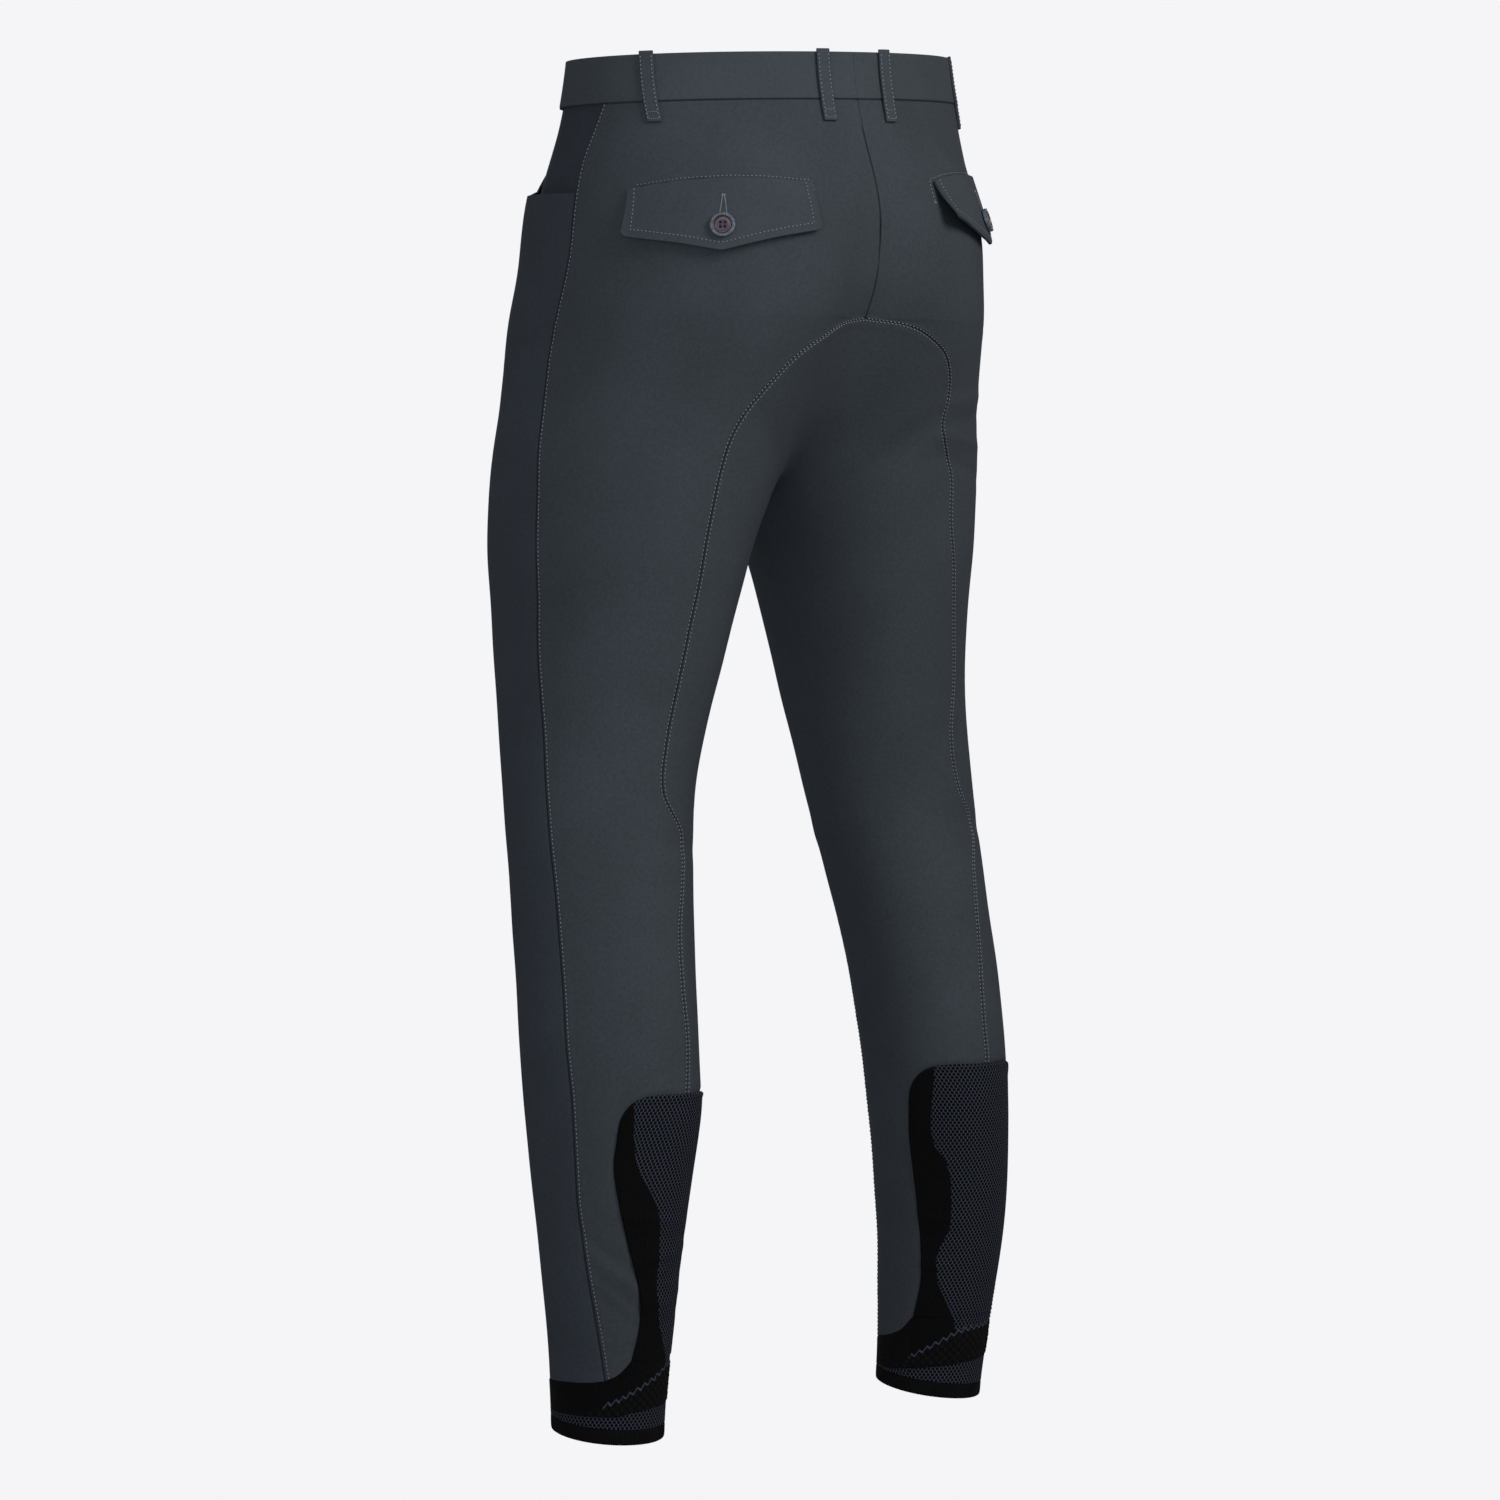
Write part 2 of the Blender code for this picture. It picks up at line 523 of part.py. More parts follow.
def shape_pocket(name, angles, heights):
    """Grid lines of the front follow the pocket's mouth, a quarter of an oval."""
    side = SIDES[name]
    edge = SIDE + POCKET_CELLS
    top = ROWS[0][0] * MM
    for row in range(POCKET_ROW + 1):
        down = row / POCKET_ROW
        for column in range(SIDE, edge + 1):
            over = (column - SIDE) / POCKET_CELLS
            reach, drop = pocket_place(over, down)
            heights[row, column] = top - POCKET_DROP * drop
            angles[row, column] = pocket_angle(side, heights[row, column], POCKET_REACH * reach)
        share = np.linspace(0, 1, FRONT - edge + 1)
        columns = slice(edge, FRONT + 1)
        angles[row, columns] = angles[row, edge] + (angles[row, FRONT] - angles[row, edge]) * share
        heights[row, columns] = heights[row, edge] + (heights[row, FRONT]
                                                      - heights[row, edge]) * share


def pocket_place(over, down):
    """Spread a unit square over a quarter of the pocket's oval."""
    return (over * (1 - down ** POCKET_POWER / 2) ** (1 / POCKET_POWER),
            down * (1 - over ** POCKET_POWER / 2) ** (1 / POCKET_POWER))


def pocket_angle(side, level, reach):
    """Angle at an arc length forward of the side seam."""
    start = seam_angle(SIDE_SEAM, level)
    radius = np.linalg.norm(skin_point(side, start, np.array(level), folds=False)[0][:2]
                            - [side * section("centre_x", level) * MM,
                               section("centre_y", level) * MM])
    return start + reach / radius


def mouth_lift(heights):
    """How far the front panel stands away from the body round the pocket's mouth."""
    lift = np.zeros_like(heights)
    edge = SIDE + POCKET_CELLS
    shape = dict(zip(MOUTH_COLUMNS, np.array(MOUTH_SHAPE).T))
    for column in range(SIDE, FRONT):
        ahead = max(column - edge, 0) / (FRONT - edge)
        ease = MOUTH_GAPE * max(1 - ahead / MOUTH_AHEAD, 0) ** MOUTH_EASE
        place = 0.5 * min((column - SIDE) / POCKET_CELLS, 1)
        below = heights[POCKET_ROW, min(column, edge)] - heights[POCKET_ROW:, column]
        fade = np.clip(1 - below / MOUTH_SLACK, 0, 1) ** SLACK_EASE
        lift[POCKET_ROW:, column] = ease * fade * np.interp(place, shape["place"], shape["share"])
        if column >= edge:
            place = 1 - 0.5 * np.arange(POCKET_ROW) / POCKET_ROW
            lift[:POCKET_ROW, column] = ease * np.interp(place, shape["place"], shape["share"])
    return lift


# ---------------------------------------------------------------- cutting pieces from the skin
def material(name):
    """Principled material of one cloth or hard finish."""
    made = bpy.data.materials.get(name) or bpy.data.materials.new(name)
    made.use_nodes = True
    shader = made.node_tree.nodes["Principled BSDF"]
    colour, roughness = COLOURS[name]
    shader.inputs["Base Color"].default_value = (*colour, 1)
    shader.inputs["Roughness"].default_value = roughness
    shader.inputs["Metallic"].default_value = 0.0
    return made


def add_object(name, points, faces, finish):
    """Link a mesh object whose faces are turned outwards."""
    mesh = bpy.data.meshes.new(name)
    mesh.from_pydata([tuple(p) for p in points], [], faces)
    shape = bmesh.new()
    shape.from_mesh(mesh)
    bmesh.ops.recalc_face_normals(shape, faces=shape.faces)
    shape.to_mesh(mesh)
    shape.free()
    mesh.shade_smooth()
    mesh.set_sharp_from_angle(angle=np.radians(40))
    mesh.materials.append(material(finish))
    made = bpy.data.objects.new(name, mesh)
    bpy.context.scene.collection.objects.link(made)
    return made


def cut_piece(name, faces, points, normals, wall, finish, lift=0.0, rise=None, keep_side=0):
    """Make a closed wall from skin faces, drawn in by half a seam gap along its own edge.

    lift moves the whole wall out, rise the outer points alone; keep_side holds the piece on its
    own side of the mid plane.
    """
    used = sorted({k for face in faces for k in face})
    number = {k: i for i, k in enumerate(used)}
    skin = points[used]
    out = normals[used]
    local = [part for face in faces for part in split_face([number[k] for k in face], skin)]
    directed = {(face[i], face[(i + 1) % len(face)]) for face in local for i in range(len(face))}
    rim = [(a, b) for a, b in directed if (b, a) not in directed]
    inward = {}
    for a, b in rim:
        way = skin[b] - skin[a]
        turn = np.cross(out[a] + out[b], way)
        turn /= np.linalg.norm(turn)
        inward.setdefault(a, []).append(turn)
        inward.setdefault(b, []).append(turn)
    drawn = np.zeros_like(skin)
    for k, turns in inward.items():
        total = np.sum(turns, axis=0) / len(turns)
        drawn[k] = total / max(total @ total, 0.3) * SEAM_GAP / 2
    lift = np.broadcast_to(lift, points.shape[:1])[used][:, None]
    swell = 0.0 if rise is None else rise[used][:, None]
    outer = skin + drawn + out * (lift + swell)
    inner = skin + drawn + out * (lift - wall)
    if keep_side:
        for wall_points in (outer, inner):
            held = np.maximum(keep_side * wall_points[:, 0], SEAM_GAP / 2)
            wall_points[:, 0] = keep_side * held
    count = len(used)
    solid = list(local)
    solid += [tuple(k + count for k in reversed(face)) for face in local]
    solid += [(b, a, a + count, b + count) for a, b in sorted(rim)]
    return add_object(name, np.concatenate([outer, inner]), solid, finish)


def split_face(face, points):
    """A quad as two triangles across its shorter diagonal; other faces as a fan."""
    if len(face) == 4:
        a, b, c, d = face
        if np.linalg.norm(points[a] - points[c]) <= np.linalg.norm(points[b] - points[d]):
            return [(a, b, c), (a, c, d)]
        return [(a, b, d), (b, c, d)]
    if len(face) == 3:
        return [tuple(face)]
    return [(face[0], face[k], face[k + 1]) for k in range(1, len(face) - 1)]


def grid_faces(number, rows, columns, side):
    """Quads of a block of the grid, wound so that they face outwards."""
    faces = []
    for row in range(*rows):
        for column in range(*columns):
            quad = [number(row, column), number(row + 1, column),
                    number(row + 1, column + 1), number(row, column + 1)]
            faces.append(tuple(quad if side < 0 else reversed(quad)))
    return faces


def flat_points(side, angles, heights):
    """Skin points and normals of a grid of places, as flat lists."""
    points, normals = skin_point(side, angles, heights)
    return points.reshape(-1, 3), normals.reshape(-1, 3)


# ---------------------------------------------------------------- panels
def build_panels(name):
    """Back, front and inner panels of one half, and its grid for what joins them."""
    side = SIDES[name]
    angles, heights = half_grid(name)
    points, normals = flat_points(side, angles, heights)
    width = ROUND + 1

    def number(row, column):
        if column == ROUND and row >= SEAT_ROW:
            column = 0
        return row * width + column

    back = grid_faces(number, (0, TONGUE_ROW), (0, SIDE), side)
    back += grid_faces(number, (TONGUE_ROW, ANKLE_ROW), (TONGUE_OUT, SIDE), side)
    cut_piece(f"back_{name}", back, points, normals, PANEL_WALL, "jersey", keep_side=side)
    edge = SIDE + POCKET_CELLS
    front = grid_faces(number, (0, POCKET_ROW), (edge, FRONT), side)
    front += grid_faces(number, (POCKET_ROW, ANKLE_ROW), (SIDE, FRONT), side)
    lift = mouth_lift(heights).reshape(-1)
    cut_piece(f"front_{name}", front, points, normals, PANEL_WALL, "jersey", lift=lift,
              keep_side=side)
    inner = grid_faces(number, (SEAT_ROW, TONGUE_ROW), (FRONT, ROUND), side)
    inner += grid_faces(number, (TONGUE_ROW, ANKLE_ROW), (FRONT, TONGUE_IN), side)
    cut_piece(f"inner_leg_{name}", inner, points, normals, PANEL_WALL, "jersey", keep_side=side)
    build_waistband(name, angles[0], heights[0])
    build_gaiter(name, angles, heights, points, normals, number)


def build_waistband(name, angles, heights):
    """One half of the waistband; the left one runs on over the right one at the front."""
    side = SIDES[name]
    angles = angles[:FRONT + 1]
    lift = np.full(len(angles), BAND_LIFT)
    if name == "left":
        over = BAND_LIFT + BAND_WALL + WAIST_OVERLAP_GAP
        ends = np.array(OVERLAP_STATIONS) * WAIST_OVERLAP
        arc_step = WAIST_OVERLAP / np.linalg.norm(
            skin_point(side, angles[-1], np.array(0.0))[0][:2])
        angles = np.concatenate([angles, angles[-1] + ends / WAIST_OVERLAP * arc_step])
        lift = np.append(lift, np.full(len(ends), over))
        lift[-len(ends) - 1] = over
    levels = np.array([heights[0], 0.0, BAND_HEIGHT / 2])
    grid_angles, grid_levels = np.meshgrid(angles, levels)
    to_front = np.clip((angles - angles[0]) / (angles[FRONT] - angles[0]), 0, 1)
    for row, level in enumerate(levels):
        back_shift = centre_angle(level, False) - angles[0]
        front_shift = centre_angle(level, True) - angles[FRONT]
        grid_angles[row] += back_shift + (front_shift - back_shift) * to_front
    points, normals = flat_points(side, grid_angles, grid_levels)
    count = len(angles)
    faces = grid_faces(lambda r, c: r * count + c, (0, len(levels) - 1), (0, count - 1), -side)
    cut_piece(f"waistband_{name}", faces, points, normals, BAND_WALL, "band",
              lift=np.tile(lift, len(levels)), keep_side=0)


def build_gaiter(name, angles, heights, points, normals, number):
    """Knitted calf tongue with its ankle cuff, and the ribbed hem under it."""
    side = SIDES[name]
    fine = ROUND * DIAMONDS_PER_CELL
    share = np.arange(fine) / DIAMONDS_PER_CELL
    top_angles = np.interp(share, np.arange(ROUND + 1), angles[ANKLE_ROW])
    top_levels = np.interp(share, np.arange(ROUND + 1), heights[ANKLE_ROW])
    end_levels = CUFF_END[name] - HEM_TILT[name] / 2 * np.cos(top_angles
                                                              - np.radians(HEM_TURN[name]))
    down = np.linspace(0, 1, QUILT_ROWS + 1)[:, None]
    cuff_levels = top_levels + (end_levels - top_levels) * down
    cuff_angles = np.broadcast_to(top_angles, cuff_levels.shape)
    cuff_points, cuff_normals = flat_points(side, cuff_angles, cuff_levels)
    offset = len(points)

    def cuff_number(row, column):
        return offset + row * fine + column % fine

    def tongue_number(row, column):
        if row == ANKLE_ROW:
            return cuff_number(0, column * DIAMONDS_PER_CELL)
        return number(row, column)

    faces = []
    for block in ((0, TONGUE_OUT), (TONGUE_IN, ROUND)):
        faces += grid_faces(tongue_number, (TONGUE_ROW, ANKLE_ROW - 1), block, side)
        for column in range(*block):
            lower = [cuff_number(0, column * DIAMONDS_PER_CELL + k)
                     for k in range(DIAMONDS_PER_CELL + 1)]
            ring = [number(ANKLE_ROW - 1, column), *lower, number(ANKLE_ROW - 1, column + 1)]
            faces.append(tuple(ring if side < 0 else reversed(ring)))
    for row in range(QUILT_ROWS):
        for column in range(fine):
            a, b = cuff_number(row, column), cuff_number(row + 1, column)
            c, d = cuff_number(row + 1, column + 1), cuff_number(row, column + 1)
            if (row + column) % 2:
                pair = [(a, b, d), (b, c, d)]
            else:
                pair = [(a, b, c), (a, c, d)]
            faces += [face if side < 0 else tuple(reversed(face)) for face in pair]
    rows, columns = np.divmod(np.arange((QUILT_ROWS + 1) * fine), fine)
    peaks = ((rows + columns) % 2 == 0) & (rows > 0) & (rows < QUILT_ROWS)
    rise = np.concatenate([np.zeros(offset), np.where(peaks, QUILT_RISE, 0.0)])
    all_points = np.concatenate([points, cuff_points])
    all_normals = np.concatenate([normals, cuff_normals])
    cut_piece(f"gaiter_{name}", faces, all_points, all_normals, KNIT_WALL, "knit", rise=rise)
    every = slice(0, fine, DIAMONDS_PER_CELL)
    hem_levels = end_levels[every] - HEM_HEIGHT * np.linspace(0, 1, 3)[:, None]
    hem_angles = np.broadcast_to(top_angles[every], hem_levels.shape)
    hem_points, hem_normals = flat_points(side, hem_angles, hem_levels)
    hem_faces = grid_faces(lambda r, c: r * ROUND + c % ROUND, (0, 2), (0, ROUND), side)
    cut_piece(f"hem_{name}", hem_faces, hem_points, hem_normals, HEM_WALL, "hem",
              lift=np.full(len(hem_points), 0.3 * MM))


def build_facing(name):
    """Cloth that shows inside the front pocket, set in under the front panel."""
    side = SIDES[name]
    rows, columns = FACING_ROWS, FACING_COLUMNS
    angles = np.zeros((rows + 1, columns + 1))
    heights = np.zeros_like(angles)
    top = ROWS[0][0] * MM
    reach_full = POCKET_REACH + FACING_OVERLAP
    drop_full = POCKET_DROP + FACING_OVERLAP
    for row in range(rows + 1):
        for column in range(columns + 1):
            down, over = row / rows, column / columns
            reach, drop = pocket_place(over, down)
            heights[row, column] = top - drop_full * drop
            angles[row, column] = pocket_angle(side, heights[row, column], reach_full * reach)
    points, normals = flat_points(side, angles, heights)
    faces = grid_faces(lambda r, c: r * (columns + 1) + c, (0, rows), (0, columns), side)
    cut_piece(f"pocket_facing_{name}", faces, points, normals, PANEL_WALL, "jersey",
              lift=np.full(len(points), -FACING_SET_IN))


# ---------------------------------------------------------------- what lies on the panels
def flap_top(name, arc):
    """Height of a flap's top fold at an arc length from the centre back."""
    line = np.array(FLAP_TOP[name], float) * MM
    return np.interp(arc, line[:, 0], line[:, 1])


def build_flap(name):
    """Back pocket flap with a pointed lower edge, and its button."""
    side = SIDES[name]
    shares = np.array(FLAP_ACROSS)
    downs = np.array(FLAP_DOWN)
    corner = dict(zip(FLAP_CORNER_COLUMNS, FLAP_CORNER[name]))
    arcs = FLAP["from"] + (FLAP["to"] - FLAP["from"]) * shares
    arcs_below = FLAP["from_below"] + (FLAP["to_below"] - FLAP["from_below"]) * shares
    point_share = 1 - np.abs(2 * shares - 1)
    to_corner = np.clip(1 - shares / FLAP["corner_reach"], 0, 1) ** 2
    drops = FLAP["side_drop"] + (FLAP["point_drop"] - FLAP["side_drop"]) * point_share
    from_end = np.minimum(arcs - arcs[0], arcs[-1] - arcs)
    near_corner = np.clip(1 - from_end / FLAP["corner"], 0, 1)
    drops -= FLAP["corner"] * near_corner ** 2 * FLAP["corner_share"] + corner["rise"] * to_corner
    heights = flap_top(name, arcs) - drops * downs[:, None]
    angles = np.zeros_like(heights)
    for row, down in enumerate(downs):
        for column in range(len(shares)):
            arc = arcs[column] + (arcs_below[column] - arcs[column]) * down
            angles[row, column] = arc_angle(side, heights[row, column], arc)
    points, normals = flat_points(side, angles, heights)
    to_point = FLAP["side_share"] + (1 - FLAP["side_share"]) * point_share
    reach = FLAP["stand_off"] * to_point + corner["lift"] * to_corner
    stand_off = reach * downs[:, None] ** FLAP["curl"]
    lift = SITTING_GAP + FLAP_WALL + stand_off
    count = len(shares)
    faces = grid_faces(lambda r, c: r * count + c, (0, len(downs) - 1), (0, count - 1), side)
    cut_piece(f"flap_{name}", faces, points, normals, FLAP_WALL, "jersey", lift=lift.reshape(-1))
    share = 1 - BUTTON["above_point"] / FLAP["point_drop"]
    top_middle = (FLAP["from"] + FLAP["to"]) / 2
    middle = top_middle + ((FLAP["from_below"] + FLAP["to_below"]) / 2 - top_middle) * share
    level = flap_top(name, top_middle) - FLAP["point_drop"] * share
    angle = arc_angle(side, level, middle)
    point, normal = skin_point(side, np.array(angle), np.array(level))
    curl = FLAP["curl"]
    rise = SITTING_GAP + FLAP_WALL + FLAP["stand_off"] * share ** curl
    slope = FLAP["stand_off"] * curl * share ** (curl - 1) / FLAP["point_drop"]
    upward = np.array([0.0, 0.0, 1.0]) - normal * normal[2]
    facing_out = normal + upward * slope
    build_button(f"flap_button_{name}", point + normal * rise,
                 facing_out / np.linalg.norm(facing_out), SITTING_GAP)


def build_button(name, point, normal, lift):
    """Turned button: a rim round a dish, standing on the cloth along its normal."""
    rows = [dict(zip(BUTTON_COLUMNS, row)) for row in BUTTON_PROFILE]
    profile = [(BUTTON["radius"] * row["radius"] - BUTTON["rim"] * row["rims"],
                BUTTON["height"] * row["height"] - BUTTON["dish"] * row["dishes"]) for row in rows]
    facets = BUTTON["facets"]
    rings = [(r, z) for r, z in profile if r > 0]
    points = [(0, 0, profile[0][1]), (0, 0, profile[-1][1])]
    for r, z in rings:
        for k in range(facets):
            turn = 2 * np.pi * k / facets
            points.append((r * np.cos(turn), r * np.sin(turn), z))
    faces = []
    for k in range(facets):
        after = (k + 1) % facets
        faces.append((0, 2 + after, 2 + k))
        for ring in range(len(rings) - 1):
            base, above = 2 + ring * facets, 2 + (ring + 1) * facets
            faces.append((base + k, base + after, above + after, above + k))
        last = 2 + (len(rings) - 1) * facets
        faces.append((1, last + k, last + after))
    made = add_object(name, points, faces, "button")
    out = Vector(normal)
    made.matrix_world = Matrix.Translation(Vector(point) + out * lift) @ (
        out.to_track_quat("Z", "Y").to_matrix().to_4x4())


def build_waist_button():
    """Button on the waistband's overlap, at the middle of its end."""
    side = SIDES["left"]
    radius = np.linalg.norm(skin_point(side, centre_angle(0.0, True), np.array(0.0))[0][:2])
    angle = centre_angle(0.0, True) + WAIST_OVERLAP * WAIST_BUTTON_PLACE / radius
    point, normal = skin_point(side, np.array(angle), np.array(0.0))
    lift = BAND_LIFT + BAND_WALL + WAIST_OVERLAP_GAP + SITTING_GAP
    build_button("waist_button", point, normal, lift)


def build_loop(name, side, arc):
    """Belt loop: a narrow strip sewn down at both ends that stands off the band between them."""
    rows = LOOP["rows"]
    down = np.linspace(0, 1, rows)
    levels = LOOP["top"] + (LOOP["bottom"] - LOOP["top"]) * down
    across = np.array([-0.5, 0.5]) * LOOP["width"]
    angles = np.array([[arc_angle(side, level, arc + a) for a in across] for level in levels])
    heights = np.broadcast_to(levels[:, None], angles.shape)
    points, normals = flat_points(side, angles, heights)
    bow = np.clip(np.sin(np.pi * down) * LOOP["spring"], 0, 1) * LOOP["bow"]
    on_band = BAND_LIFT * (levels > ROWS[0][0] * MM - LOOP["over_seam"])
    lift = SITTING_GAP + LOOP["wall"] + on_band + bow
    faces = grid_faces(lambda r, c: r * 2 + c, (0, rows - 1), (0, 1), side)
    cut_piece(name, faces, points, normals, LOOP["wall"], "band",
              lift=np.repeat(lift, 2))


# ---------------------------------------------------------------- build
def build():
    """Clear the scene and make every piece."""
    for old in list(bpy.data.objects):
        bpy.data.objects.remove(old, do_unlink=True)
    for name, side in SIDES.items():
        build_panels(name)
        build_facing(name)
        build_flap(name)
        for place, arc in LOOPS.items():
            build_loop(f"belt_loop_{place}_{name}", side, arc)
    build_waist_button()


build()
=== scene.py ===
# %% [markdown]
# # A pair of riding breeches
# The real garment is sewn from a dark slate stretch jersey: a back and a front for each leg, and
# between them one long panel that runs over the seat and down the inner leg. A knitted tongue
# fills the calf and turns into a close cuff, so that a boot slides over it. Here every cloth
# piece is cut from one smooth skin, the shape that a body gives the cloth, and then gets its
# folds, its turned edges and its sewing.

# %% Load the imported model
import math

import bpy
import numpy as np
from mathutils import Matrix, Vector


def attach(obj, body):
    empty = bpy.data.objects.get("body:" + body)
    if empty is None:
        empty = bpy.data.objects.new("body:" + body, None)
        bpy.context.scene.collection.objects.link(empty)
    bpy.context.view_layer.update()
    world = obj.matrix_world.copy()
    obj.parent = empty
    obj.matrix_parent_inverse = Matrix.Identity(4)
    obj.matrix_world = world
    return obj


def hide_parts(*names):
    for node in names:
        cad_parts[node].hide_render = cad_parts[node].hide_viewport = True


MM = 0.001
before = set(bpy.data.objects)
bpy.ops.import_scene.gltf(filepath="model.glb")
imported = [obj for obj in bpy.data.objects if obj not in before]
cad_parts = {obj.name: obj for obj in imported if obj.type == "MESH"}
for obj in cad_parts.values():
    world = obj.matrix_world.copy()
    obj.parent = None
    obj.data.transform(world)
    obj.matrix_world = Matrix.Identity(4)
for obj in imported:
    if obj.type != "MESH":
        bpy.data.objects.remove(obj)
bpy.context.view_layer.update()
SIDES = {"left": 1, "right": -1}

# %% [markdown]
# ## Small helpers
# Colours are picked on screen as sRGB hex values, but a shader counts light, so one function
# turns them to linear. Materials are built from nodes, and one function adds a node with its
# settings and its links.


# %% Colour and node helpers
def linear(hex_colour, share=1.0):
    """Linear RGBA of an sRGB hex colour such as "3b4148", or of a share of its light."""
    parts = [int(hex_colour[k:k + 2], 16) / 255 for k in (0, 2, 4)]
    curve = [c / 12.92 if c <= 0.04045 else ((c + 0.055) / 1.055) ** 2.4 for c in parts]
    return (*(c * share for c in curve), 1.0)


def add_node(tree, kind, settings=None, **sockets):
    """Add a node; a socket given a node, or (node, output name), is linked, any other is set."""
    node = tree.nodes.new("ShaderNode" + kind)
    for name, value in (settings or {}).items():
        setattr(node, name, value)
    for name, value in sockets.items():
        key = int(name[1:]) if name[0] == "_" else name.replace("_", " ")
        if isinstance(value, bpy.types.Node):
            value = (value, 0)
        if isinstance(value, tuple) and isinstance(value[0], bpy.types.Node):
            tree.links.new(value[0].outputs[value[1]], node.inputs[key])
        else:
            node.inputs[key].default_value = value
    return node


def maths(tree, operation, *values):
    """A maths node with its values, each given as add_node takes them."""
    return add_node(tree, "Math", {"operation": operation},
                    **{f"_{place}": value for place, value in enumerate(values)})


def colour_stops(ramp, *stops):
    """Set the two stops of a colour ramp, each as (position, colour)."""
    for element, (position, colour) in zip(ramp.color_ramp.elements, stops):
        element.position, element.color = position, colour


def new_material(name, **sockets):
    """A material, its tree, and its Principled shader with some sockets set."""
    made = bpy.data.materials.new(name)
    made.use_nodes = True
    tree = made.node_tree
    shader = tree.nodes["Principled BSDF"]
    for socket, value in sockets.items():
        shader.inputs[socket.replace("_", " ")].default_value = value
    return made, tree, shader


def new_object(name, data):
    """An object of the scene that shows some data."""
    made = bpy.data.objects.new(name, data)
    bpy.context.scene.collection.objects.link(made)
    return made


# %% Curves
def eased(share):
    """A share from 0 to 1, slow at both ends."""
    return share * share * (3 - 2 * share)


def bell(distance, width):
    """A soft bump: 1 at its middle, fading within about a width."""
    return np.exp(-(distance / width) ** 2)


def between(t, start, end, start_slope, end_slope):
    """Smooth curve from start to end as t runs from 0 to 1, with its slope at both."""
    return ((1 + 2 * t) * (1 - t) ** 2 * start + t * (1 - t) ** 2 * start_slope
            + t * t * (3 - 2 * t) * end + t * t * (t - 1) * end_slope)


def halve(holds, near, far, times):
    """Close in on the border between near, where a test holds, and far, where it fails."""
    for _ in range(times):
        middle = (near + far) / 2
        here = holds(middle)
        near, far = np.where(here, middle, near), np.where(here, far, middle)
    return near, far


def lengths(points, axis=0):
    """Running length along an axis of a grid of points."""
    steps = np.linalg.norm(np.diff(points, axis=axis), axis=-1)
    start = np.zeros_like(np.take(steps, [0], axis=axis))
    return np.concatenate([start, np.cumsum(steps, axis=axis)], axis=axis)


def unit(ways):
    """Directions of length one."""
    return ways / np.maximum(np.linalg.norm(ways, axis=-1, keepdims=True), 1e-12)


# %% [markdown]
# ## Camera, floor and light
# The breeches are looked at from behind and from the wearer's left, level with the middle of the
# thigh, through a long lens. The floor is a wide sheet of evenly lit paper. A key lamp high behind
# the garment gives the cloth its soft modelling. A fill beside it and a side lamp without shadows
# open the shade, a front lamp shows the front, and the pale surroundings fill the rest.

# %% Camera
VIEW_TURN = math.radians(38.0)
VIEW_DISTANCE = 4.0
VIEW_HEIGHT = -0.345
FOCAL_PIXELS = 5442.0
IMAGE_PIXELS = 1500.0
AXIS_RIGHT_PIXELS = 7.0
HORIZON_UP_PIXELS = 190.0

toward = Vector((math.sin(VIEW_TURN), math.cos(VIEW_TURN), 0.0))
image_right = Vector((-math.cos(VIEW_TURN), math.sin(VIEW_TURN), 0.0))
lens = bpy.data.cameras.new("camera")
lens.sensor_width = 36.0
lens.lens = FOCAL_PIXELS / IMAGE_PIXELS * lens.sensor_width
camera = new_object("camera", lens)
camera.location = toward * VIEW_DISTANCE + Vector((0, 0, VIEW_HEIGHT))
look = (-toward - image_right * (AXIS_RIGHT_PIXELS / FOCAL_PIXELS)
        - Vector((0, 0, 1)) * (HORIZON_UP_PIXELS / FOCAL_PIXELS))
camera.rotation_euler = look.to_track_quat("-Z", "Y").to_euler()
bpy.context.scene.camera = camera

# %% Floor and light
FLOOR_LEVEL = -0.987
FLOOR_HALF = 14.0
PAPER = "f5f5f7"
AMBIENT, AMBIENT_TINT = 0.25, "fafbff"

bpy.ops.object.select_all(action="DESELECT")
bpy.ops.mesh.primitive_plane_add(size=2 * FLOOR_HALF, location=(0, 0, FLOOR_LEVEL))
floor = bpy.context.object
floor.name = "floor"
paper = new_material("evenly_lit_paper", Base_Color=(0, 0, 0, 1), Specular_IOR_Level=0.0,
                     Emission_Color=linear(PAPER), Emission_Strength=1.0)[0]
floor.data.materials.append(paper)
# The paper is lit evenly, so it adds no light of its own from below.
floor.visible_diffuse = False
floor.visible_glossy = False

# What the camera sees of the surroundings is the paper's white, and the cloth gets less of it.
world = bpy.data.worlds.new("studio")
bpy.context.scene.world = world
world.use_nodes = True
backdrop = world.node_tree.nodes["Background"]
backdrop.inputs["Color"].default_value = linear(PAPER)
soft_light = add_node(world.node_tree, "Background", Color=linear(AMBIENT_TINT), Strength=AMBIENT)
ray = add_node(world.node_tree, "LightPath")
seen = add_node(world.node_tree, "MixShader", Fac=(ray, "Is Camera Ray"))
world.node_tree.links.new(soft_light.outputs[0], seen.inputs[1])
world.node_tree.links.new(backdrop.outputs[0], seen.inputs[2])
world.node_tree.links.new(seen.outputs[0], world.node_tree.nodes["World Output"].inputs["Surface"])
bpy.context.scene.view_settings.view_transform = "Standard"

